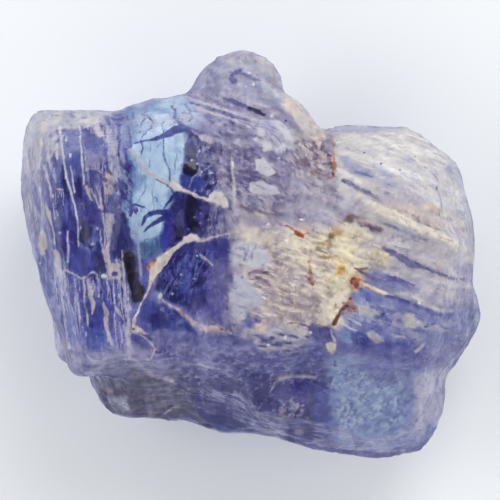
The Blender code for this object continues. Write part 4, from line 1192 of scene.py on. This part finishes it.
class Shader:
    """A node tree, with one method that makes any node."""

    def __init__(self, owner: bpy.types.Material | bpy.types.World) -> None:
        """Start an empty node tree.

        Args:
            owner: The material or the world that it belongs to.
        """
        owner.use_nodes = True
        self.owner, self.tree = owner, owner.node_tree
        self.tree.nodes.clear()

    def make(self, kind: str, settings: dict | None = None, inputs: dict | None = None,
             out: int | str = 0) -> "Socket":
        """Make one node.

        Args:
            kind: The node's type.
            settings: Its settings, set first.
            inputs: Its inputs by name or number, numbers or sockets.
            out: Which output to give.

        Returns:
            The chosen output.
        """
        node = self.tree.nodes.new(kind)
        for key, value in (settings or {}).items():
            setattr(node, key, value)
        for key, value in (inputs or {}).items():
            if isinstance(value, Socket):
                self.tree.links.new(value.socket, node.inputs[key])
            else:
                node.inputs[key].default_value = value
        return Socket(self, node.outputs[out])

    def close(self, surface: "Socket", volume: "Socket | None" = None) -> bpy.types.Material | bpy.types.World:
        """Join the surface, and a volume if there is one, to the output.

        Args:
            surface: The surface shader.
            volume: The volume shader.

        Returns:
            The finished material or world.
        """
        kind = "World" if isinstance(self.owner, bpy.types.World) else "Material"
        output = self.tree.nodes.new(f"ShaderNodeOutput{kind}")
        self.tree.links.new(surface.socket, output.inputs["Surface"])
        if volume:
            self.tree.links.new(volume.socket, output.inputs["Volume"])
        return self.owner

    def blue(self, colour: "Socket") -> "Socket":
        """Take a colour's blue part."""
        return self.make("ShaderNodeSeparateColor", None, {"Color": colour}, "Blue")

    def attribute(self, name: str, out: str = "Fac") -> "Socket":
        """Read one of the piece's own attributes."""
        return self.make("ShaderNodeAttribute", {"attribute_name": name}, out=out)

    def mix(self, share: "Socket | float", below: object, above: object, blend: str = "MIX") -> "Socket":
        """Mix two colours."""
        return self.make("ShaderNodeMix", {"data_type": "RGBA", "blend_type": blend}, {0: share, 6: below, 7: above}, 2)

    def noise(self, size: float, detail: float = 3.0, vector: "Socket | None" = None) -> "Socket":
        """Make soft noise.

        Args:
            size: Its size in metres.
            detail: How many finer layers it has.
            vector: Its coordinates, or the piece's Object coordinates.

        Returns:
            The noise, about 0.5 on average.
        """
        place = vector or self.make("ShaderNodeTexCoord", out="Object")
        return self.make("ShaderNodeTexNoise", {"noise_dimensions": "3D"},
                         {"Vector": place, "Scale": 1.0 / size, "Detail": detail, "Roughness": 0.6})

    def bent(self, vector: "Socket", size: float, reach: float) -> "Socket":
        """Bend coordinates by soft noise.

        Args:
            vector: The coordinates.
            size: The noise's size in metres.
            reach: How far it bends them.

        Returns:
            The bent coordinates.
        """
        place = self.make("ShaderNodeTexCoord", out="Object")
        stir = self.make("ShaderNodeTexNoise", None, {"Vector": place, "Scale": 1.0 / size, "Detail": 2.0}, "Color")
        push = self.make("ShaderNodeVectorMath", {"operation": "SCALE"}, {0: stir, "Scale": reach})
        return self.make("ShaderNodeVectorMath", {"operation": "ADD"}, {0: vector, 1: push})

    def cells(self, size: float, vector: "Socket", feature: str, out: str) -> "Socket":
        """Make crystal cells of a size in metres: their own random colours, or the distance to their edges."""
        return self.make("ShaderNodeTexVoronoi", {"feature": feature}, {"Vector": vector, "Scale": 1.0 / size}, out)

    def stretched(self, heading: float, pull: float) -> "Socket":
        """Turn Object coordinates to a grain and stretch them along it.

        Args:
            heading: The grain's heading in degrees.
            pull: How many times longer than wide it is.

        Returns:
            The new coordinates.
        """
        place = self.make("ShaderNodeTexCoord", out="Object")
        for key, value in (("Rotation", (0.0, 0.0, math.radians(heading))), ("Scale", (1.0 / pull, 1.0, 0.2))):
            place = self.make("ShaderNodeMapping", {"vector_type": "POINT"}, {"Vector": place, key: value})
        return place

    def bump(self, strength: float, height: float, shape: "Socket") -> "Socket":
        """Make a normal from a shape, up to a height in metres."""
        return self.make("ShaderNodeBump", None, {"Strength": strength, "Distance": height, "Height": shape}, "Normal")


class Socket:
    """A shader value that Python's own signs act on."""

    def __init__(self, shader: Shader, socket: bpy.types.NodeSocket) -> None:
        """Wrap an output.

        Args:
            shader: The material's node tree.
            socket: The output.
        """
        self.shader, self.socket = shader, socket

    def _math(self, operation: str, *values: "Socket | float") -> "Socket":
        """Make one Math node of the given values."""
        return self.shader.make("ShaderNodeMath", {"operation": operation}, dict(enumerate(values)))

    def __add__(self, other: "Socket | float") -> "Socket":
        """Add a value."""
        return self._math("ADD", self, other)

    def __radd__(self, other: "Socket | float") -> "Socket":
        """Add to a value."""
        return self._math("ADD", other, self)

    def __sub__(self, other: "Socket | float") -> "Socket":
        """Take a value away."""
        return self._math("SUBTRACT", self, other)

    def __rsub__(self, other: "Socket | float") -> "Socket":
        """Take away from a value."""
        return self._math("SUBTRACT", other, self)

    def __mul__(self, other: "Socket | float") -> "Socket":
        """Multiply by a value."""
        return self._math("MULTIPLY", self, other)

    def __rmul__(self, other: "Socket | float") -> "Socket":
        """Multiply a value."""
        return self._math("MULTIPLY", other, self)

    def __truediv__(self, other: "Socket | float") -> "Socket":
        """Divide by a value."""
        return self._math("DIVIDE", self, other)

    def __rtruediv__(self, other: "Socket | float") -> "Socket":
        """Divide a value."""
        return self._math("DIVIDE", other, self)

    def held(self) -> "Socket":
        """Hold the value between 0 and 1."""
        return self._math("MINIMUM", self._math("MAXIMUM", self, 0.0), 1.0)

    def ramp(self, low: float, high: float) -> "Socket":
        """Ease the value from 0 at low to 1 at high."""
        share = ((self - low) / (high - low)).held()
        return share * share * (3.0 - 2.0 * share)


@dataclass(frozen=True)
class Shades:
    """The fine shades that the finish is mixed from: streaks, mottles, pits and the sides' crystal facets."""
    fine: Socket
    broad: Socket
    mottle: Socket
    crumb: Socket
    pit: Socket
    warmth: Socket
    cluster: Socket
    facet: Socket
    chip: Socket
    seam: Socket


@dataclass(frozen=True)
class StoneFinish:
    """The stone's one material: frosted skin mixed with clear crystal, over a blue-violet depth."""
    name: str = "rough_tanzanite_crystal"
    frost: Frost = Frost()
    glass: Glass = Glass()
    casts: Casts = Casts()
    texture: Texture = Texture()

    def build(self) -> bpy.types.Material:
        """Make the material.

        Returns:
            The finished material.
        """
        shader, sizes = Shader(bpy.data.materials.new(self.name)), self.texture
        tint, clear = shader.attribute("tint", "Color"), shader.attribute("clear")
        gloss, side = shader.attribute("gloss"), shader.attribute("side")
        pale, shades = shader.blue(tint), self._shades(shader)
        lights, darks = self._lights_and_darks(shades, side, pale)
        veil = shader.noise(sizes.veil, 6.0, shader.stretched(GRAINS[0], 2.6)).ramp(0.52, 0.57) * side
        deep = shader.noise(sizes.deep, 6.0, shader.stretched(sizes.deep_heading, 2.2)).ramp(0.55, 0.59) * side
        tint = shader.mix(veil * 0.5, tint, self.casts.veil)
        tint = shader.mix(deep * 0.65, tint, self.casts.deep)
        colour = shader.mix(shades.warmth.ramp(0.5, 0.62) * 0.2, tint,
                            shader.mix(1.0, tint, self.casts.warm, "MULTIPLY"))
        glow = shader.mix(pale.ramp(0.25, 0.6), self.casts.blue_glow, self.casts.pale_glow)
        colour = shader.mix(lights.held(), colour, shader.mix(0.6, tint, glow))
        colour = shader.mix(darks.held(), colour, shader.mix(1.0, tint, self.casts.shade, "MULTIPLY"))
        skin = self._skin(shader, shades, colour, gloss, deep)
        pane = self._pane(shader, shades, shader.mix(pale.ramp(0.02, 0.30) * 0.45, tint, self.casts.pane))
        share = (clear * (0.3 + 0.5 * shades.mottle) + 0.2 * deep).held()
        surface = shader.make("ShaderNodeMixShader", None, {0: share, 1: skin, 2: pane})
        depth = shader.make("ShaderNodeVolumeAbsorption", None,
                            {"Color": self.glass.depth_colour, "Density": self.glass.depth})
        return shader.close(surface, depth)

    def _shades(self, shader: Shader) -> Shades:
        """Make the fine shades.

        Args:
            shader: The material's node tree.

        Returns:
            The shades, each about 0.5 on average.
        """
        sizes, grain = self.texture, shader.attribute("grain")
        left, right = shader.stretched(GRAINS[0], 7.0), shader.stretched(GRAINS[1], 11.0)
        streaks = [shader.noise(size, 4.0, left) * (1.0 - grain) + shader.noise(size, 4.0, right) * grain
                   for size in (sizes.fine, sizes.broad)]
        soft = [shader.noise(size, detail) for size, detail in (
            (sizes.mottle, 5.0), (sizes.crumb, 4.0), (sizes.pit, 3.0), (sizes.warmth, 3.0), (sizes.cluster, 3.0))]
        bent = shader.bent(shader.stretched(sizes.facet_heading, 2.6), sizes.stir, sizes.stir_reach)
        facets = [shader.blue(shader.cells(size, bent, "F1", "Color")) for size in (sizes.facet, sizes.chip)]
        return Shades(*streaks, *soft, *facets, shader.cells(sizes.facet, bent, "DISTANCE_TO_EDGE", "Distance"))

    def _lights_and_darks(self, shades: Shades, side: Socket, pale: Socket) -> tuple[Socket, Socket]:
        """Work out where the skin's own colour is lit and where it is shaded.

        Args:
            shades: The fine shades.
            side: How far the surface turns to the side.
            pale: How pale the painting is.

        Returns:
            The lights and the darks.
        """
        calm = (1.0 - 0.65 * pale.ramp(0.60, 0.74)) * (0.22 + 0.78 * shades.cluster.ramp(0.44, 0.60))
        facet = (0.45 * side + 0.2) * (shades.chip - 0.5) + 0.8 * side * (shades.facet - 0.5)
        facet = facet * (1.0 - 0.7 * pale.ramp(0.45, 0.62))
        lights = shades.fine.ramp(0.48, 0.72) * (0.27 - 0.2 * side) + shades.crumb.ramp(0.55, 0.69) * 0.42
        lights = lights * calm * (0.04 + 0.96 * pale.ramp(0.05, 0.42))
        lights = lights + facet.held() + shades.seam.ramp(0.05, 0.01) * side * 0.4
        darks = shades.broad.ramp(0.47, 0.34) * (0.45 - 0.25 * side) + shades.mottle.ramp(0.46, 0.32) * 0.4
        darks = (darks + shades.pit.ramp(0.42, 0.30) * 0.5) * calm + (0.0 - facet).held() * 1.3
        return lights, darks

    def _skin(self, shader: Shader, shades: Shades, colour: Socket, gloss: Socket, deep: Socket) -> Socket:
        """Make the frosted skin.

        Args:
            shader: The material's node tree.
            shades: The fine shades.
            colour: The skin's colour.
            gloss: How glossy the painting is.
            deep: Where the sides' dark depths are.

        Returns:
            The skin's shader.
        """
        frost, mottle, crumb = self.frost, shades.mottle, shades.crumb
        rough = frost.roughness + 0.3 * (mottle - 0.5) + 0.3 * (crumb - 0.5) - 0.16 * gloss - 0.2 * deep
        height = 0.5 * shades.fine + 0.7 * shades.broad + 0.9 * mottle + 0.5 * crumb + 0.5 * shades.pit
        height = height * (0.3 + 0.7 * (1.0 - gloss))
        return shader.make("ShaderNodeBsdfPrincipled", None, {
            "Base Color": colour, "Roughness": rough.held(), "IOR": frost.ior,
            "Transmission Weight": frost.transmission, "Specular IOR Level": frost.specular,
            "Coat Weight": (gloss * frost.coat).held(), "Coat Roughness": frost.coat_roughness,
            "Coat IOR": frost.coat_ior, "Normal": shader.bump(frost.bump, frost.bump_height, height)})

    def _pane(self, shader: Shader, shades: Shades, colour: Socket) -> Socket:
        """Make the clear crystal.

        Args:
            shader: The material's node tree.
            shades: The fine shades.
            colour: The crystal's colour.

        Returns:
            The crystal's shader.
        """
        glass = self.glass
        return shader.make("ShaderNodeBsdfPrincipled", None, {
            "Base Color": colour, "Roughness": glass.roughness, "IOR": glass.ior,
            "Specular IOR Level": glass.specular, "Transmission Weight": 1.0,
            "Normal": shader.bump(glass.bump, glass.bump_height, shades.mottle + shades.broad)})


TRIANGLES_A_SPLIT = 8.3  # how many a divided face adds, with its neighbours' own


def to_linear(shade: Numbers) -> Numbers:
    """Turn display shades from 0 to 1 into linear light."""
    return np.where(shade <= 0.04045, shade / 12.92, ((shade + 0.055) / 1.055) ** 2.4)


@dataclass
class RoughCrystal:
    """The stone's visible surface, made from a merged copy of its CAD solid."""
    node: str = "tanzanite"
    name: str = "rough_tanzanite"
    grid: float = 0.19 * MM
    triangles: int = 195_000  # the most that the piece may have
    first_share: float = 0.62  # of those, after the first round on the busiest faces
    front: float = 0.2  # how far up a face points, from 0 to 1, for the front's finer grid
    busy_front: float = 0.3  # and how far to be divided again
    base: float = 0.02 * MM  # lower than this is the face that the stone lies on
    dark_cast: Three = (0.92, 0.92, 1.02)
    light_cast: Three = (0.948, 0.948, 0.932)
    painting: Painting = Painting()
    finish: StoneFinish = StoneFinish()

    def build(self) -> bpy.types.Object:
        """Make the stone.

        Returns:
            The finished piece, riding on the root body in place of its CAD node.
        """
        stone = self._even_copy()
        self._split(stone, self._faces(stone.data)[1][:, 2] > self.front)
        self._split(stone, self._busiest(stone, self.first_share))
        self._split(stone, self._busiest(stone, 1.0))
        self._smooth(stone, 2)
        self._carve(stone)
        self._dress(stone)
        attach(stone, "root")
        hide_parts(self.node)
        LOG.info("%s: %d faces", stone.name, len(stone.data.polygons))
        return stone

    def _select_only(self, stone: bpy.types.Object) -> None:
        """Make the piece the only selected and the active one.

        Args:
            stone: The piece.
        """
        bpy.ops.object.select_all(action="DESELECT")
        stone.select_set(True)
        bpy.context.view_layer.objects.active = stone

    def _even_copy(self) -> bpy.types.Object:
        """Copy the CAD node, merge its corners and give it an even, smooth grid.

        Returns:
            The copy.
        """
        source = bpy.data.objects[self.node]
        stone = bpy.data.objects.new(self.name, source.data.copy())
        stone.data.materials.clear()
        bpy.context.scene.collection.objects.link(stone)
        self._select_only(stone)
        bpy.ops.object.mode_set(mode="EDIT")
        bpy.ops.mesh.select_all(action="SELECT")
        bpy.ops.mesh.remove_doubles(threshold=1e-7)
        bpy.ops.object.mode_set(mode="OBJECT")
        modifier = stone.modifiers.new("even grid", "REMESH")
        modifier.mode, modifier.voxel_size = "VOXEL", self.grid
        bpy.ops.object.modifier_apply(modifier=modifier.name)
        self._smooth(stone, 2)
        LOG.info("%s: even grid of %d faces", stone.name, len(stone.data.polygons))
        return stone

    def _smooth(self, stone: bpy.types.Object, times: int) -> None:
        """Even out the surface.

        Args:
            stone: The piece.
            times: How often.
        """
        self._select_only(stone)
        modifier = stone.modifiers.new("even out", "SMOOTH")
        modifier.factor, modifier.iterations = 0.5, times
        bpy.ops.object.modifier_apply(modifier=modifier.name)

    @staticmethod
    def _rows(items: bpy.types.bpy_prop_collection, key: str) -> Numbers:
        """Read one vector of each item.

        Args:
            items: The mesh's points or faces.
            key: The vector's name.

        Returns:
            Rows of three numbers.
        """
        rows = np.empty(3 * len(items))
        items.foreach_get(key, rows)
        return rows.reshape(-1, 3)

    def _points(self, mesh: bpy.types.Mesh) -> tuple[Numbers, Numbers]:
        """Read the surface's points and their outward directions."""
        return self._rows(mesh.vertices, "co"), self._rows(mesh.vertex_normals, "vector")

    def _faces(self, mesh: bpy.types.Mesh) -> tuple[Numbers, Numbers]:
        """Read the middles and the outward directions of the surface's faces."""
        return self._rows(mesh.polygons, "center"), self._rows(mesh.polygons, "normal")

    def _split(self, stone: bpy.types.Object, chosen: Numbers) -> None:
        """Divide faces in four.

        Args:
            stone: The piece.
            chosen: True for each face to divide.
        """
        mesh = stone.data
        mesh.vertices.foreach_set("select", np.zeros(len(mesh.vertices), bool))
        mesh.edges.foreach_set("select", np.zeros(len(mesh.edges), bool))
        mesh.polygons.foreach_set("select", chosen)
        bpy.context.tool_settings.mesh_select_mode = (False, False, True)
        self._select_only(stone)
        bpy.ops.object.mode_set(mode="EDIT")
        bpy.ops.mesh.subdivide(number_cuts=1)
        bpy.ops.object.mode_set(mode="OBJECT")
        LOG.info("%s: %d faces divided, %d now", stone.name, int(chosen.sum()), len(mesh.polygons))

    def _busiest(self, stone: bpy.types.Object, share: float) -> Numbers:
        """Find the front faces where the painting changes fastest.

        Args:
            stone: The piece.
            share: How much of its triangles it may have once they are divided.

        Returns:
            True for each face to divide.
        """
        mesh = stone.data
        colour = self.painting.paint(*self._points(mesh), mottled=False).colour
        middles, facing = self._faces(mesh)
        inner = self.painting.paint(middles, facing, mottled=False).colour
        starts, corners = np.empty(len(mesh.polygons), np.int64), np.empty(len(mesh.loops), np.int64)
        mesh.polygons.foreach_get("loop_start", starts)
        mesh.loops.foreach_get("vertex_index", corners)
        high = np.maximum(np.maximum.reduceat(colour[corners], starts), inner)
        low = np.minimum(np.minimum.reduceat(colour[corners], starts), inner)
        spread = (high - low).sum(axis=1) * (facing[:, 2] > self.busy_front)
        now = len(mesh.loops) - 2 * len(mesh.polygons)
        count = max(0, int((share * self.triangles - now) / TRIANGLES_A_SPLIT))
        chosen = np.zeros(len(spread), bool)
        chosen[np.argsort(spread)[::-1][:count]] = True
        return chosen

    def _carve(self, stone: bpy.types.Object) -> None:
        """Raise and cut the surface by its painting's relief, keeping the base flat.

        Args:
            stone: The piece.
        """
        points, normals = self._points(stone.data)
        skin = self.painting.paint(points, normals)
        moved = points + normals * self.painting.relief(points, skin)[:, None]
        base = points[:, 2] < self.base
        moved[base, 2] = points[base, 2]
        moved[:, 2] = np.maximum(moved[:, 2], 0.0)
        stone.data.vertices.foreach_set("co", moved.ravel())
        stone.data.update()

    def _dress(self, stone: bpy.types.Object) -> None:
        """Keep the painting on the piece and give it its material.

        Args:
            stone: The piece.
        """
        points, normals = self._points(stone.data)
        skin = self.painting.paint(points, normals)
        light = eased((skin.colour.mean(axis=1) - 70.0) / 80.0)[:, None]
        cast = self.dark_cast + light * np.subtract(self.light_cast, self.dark_cast)
        tint = to_linear(np.clip(skin.colour * cast / 255.0, 0, 1))
        layer = stone.data.attributes.new("tint", "FLOAT_COLOR", "POINT")
        layer.data.foreach_set("color", np.hstack([tint, np.ones((len(tint), 1))]).ravel())
        for name, values in (("clear", skin.clear), ("gloss", skin.gloss),
                             ("side", 1.0 - eased((normals[:, 2] - 0.1) / 0.35)),
                             ("grain", self.painting.grain(self.painting.sheet.project(points)))):
            layer = stone.data.attributes.new(name, "FLOAT", "POINT")
            layer.data.foreach_set("value", values)
        self._select_only(stone)
        bpy.ops.object.shade_smooth()
        stone.data.materials.append(self.finish.build())


@dataclass(frozen=True)
class Softbox:
    """One large soft lamp."""
    name: str
    place: Three
    side: float
    brightness: float
    colour: Three = (1.0, 1.0, 1.0)

    def build(self) -> bpy.types.Object:
        """Hang the lamp, turned to the stone.

        Returns:
            The lamp.
        """
        lamp = bpy.data.lights.new(self.name, "AREA")
        lamp.shape, lamp.size, lamp.color = "SQUARE", self.side, self.colour
        lamp.energy = self.brightness * math.pi * self.side ** 2
        thing = bpy.data.objects.new(self.name, lamp)
        bpy.context.scene.collection.objects.link(thing)
        thing.location = self.place
        thing.rotation_euler = (-thing.location).to_track_quat("-Z", "Y").to_euler()
        return thing


@dataclass(frozen=True)
class Studio:
    """The camera, a pale floor and plain soft light."""
    sheet: Sheet = Sheet()
    floor_side: float = 3.0
    floor_colour: Rgba = (0.86, 0.885, 0.905, 1.0)
    floor_tone: Rgba = (0.8, 0.82, 0.84, 1.0)
    sky_colour: Rgba = (0.985, 0.985, 0.985, 1.0)
    reach: Place = (0.001, 20.0)  # the nearest and the farthest that the camera sees, in metres
    lamps: tuple[Softbox, ...] = (
        Softbox("key_softbox", (0.05, 0.11, 0.13), 0.09, 4.6, (1.0, 0.99, 0.97)),
        Softbox("fill_softbox", (-0.13, 0.02, 0.11), 0.10, 1.6, (0.96, 0.98, 1.0)),
    )

    def build(self) -> None:
        """Set up the whole studio."""
        self._camera()
        self._floor()
        self._sky()
        for lamp in self.lamps:
            lamp.build()
        bpy.context.scene.view_settings.view_transform = "Standard"
        LOG.info("studio: camera, floor, soft sky and %d lamps", len(self.lamps))

    def _camera(self) -> None:
        """Hang the camera straight over the stone."""
        lens = bpy.data.cameras.new("camera")
        lens.sensor_fit, lens.lens_unit = "HORIZONTAL", "FOV"
        lens.angle = 2.0 * math.atan(self.sheet.middle * self.sheet.unit / (self.sheet.eye[2] - self.sheet.level))
        lens.clip_start, lens.clip_end = self.reach
        camera = bpy.data.objects.new("camera", lens)
        camera.location = self.sheet.eye
        bpy.context.scene.collection.objects.link(camera)
        bpy.context.scene.camera = camera

    def _floor(self) -> None:
        """Lay the pale floor under the stone."""
        bpy.ops.object.select_all(action="DESELECT")
        bpy.ops.mesh.primitive_plane_add(size=self.floor_side)
        floor = bpy.context.object
        floor.name = "pale_floor"
        shader = Shader(bpy.data.materials.new("pale_floor_paper"))
        tone = shader.mix(0.04 * shader.noise(0.02, 2.0), self.floor_colour, self.floor_tone)
        floor.data.materials.append(shader.close(shader.make(
            "ShaderNodeBsdfPrincipled", None, {"Base Color": tone, "Roughness": 0.9, "Specular IOR Level": 0.2})))
        floor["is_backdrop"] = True

    def _sky(self) -> None:
        """Light the scene from all round, brighter low down than overhead."""
        shader = Shader(bpy.data.worlds.new("soft_sky"))
        place = shader.make("ShaderNodeTexCoord", out="Generated")
        height = shader.make("ShaderNodeSeparateXYZ", None, {0: place}, "Z")
        strength = shader.make(
            "ShaderNodeMapRange", {"interpolation_type": "SMOOTHSTEP"},
            {"Value": height, "From Min": 0.5, "From Max": 0.93, "To Min": 1.5, "To Max": 0.07}, "Result")
        bpy.context.scene.world = shader.close(shader.make(
            "ShaderNodeBackground", None, {"Color": self.sky_colour, "Strength": strength}))


def corners() -> list[list[float]]:
    """Read the whole object's box as plain lists of numbers."""
    return [[float(value) for value in corner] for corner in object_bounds()]


def main() -> None:
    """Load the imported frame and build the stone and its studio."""
    logging.basicConfig(level=logging.INFO, format="%(name)s %(message)s")
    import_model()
    Studio().build()
    RoughCrystal().build()


if __name__ == "__main__":
    main()
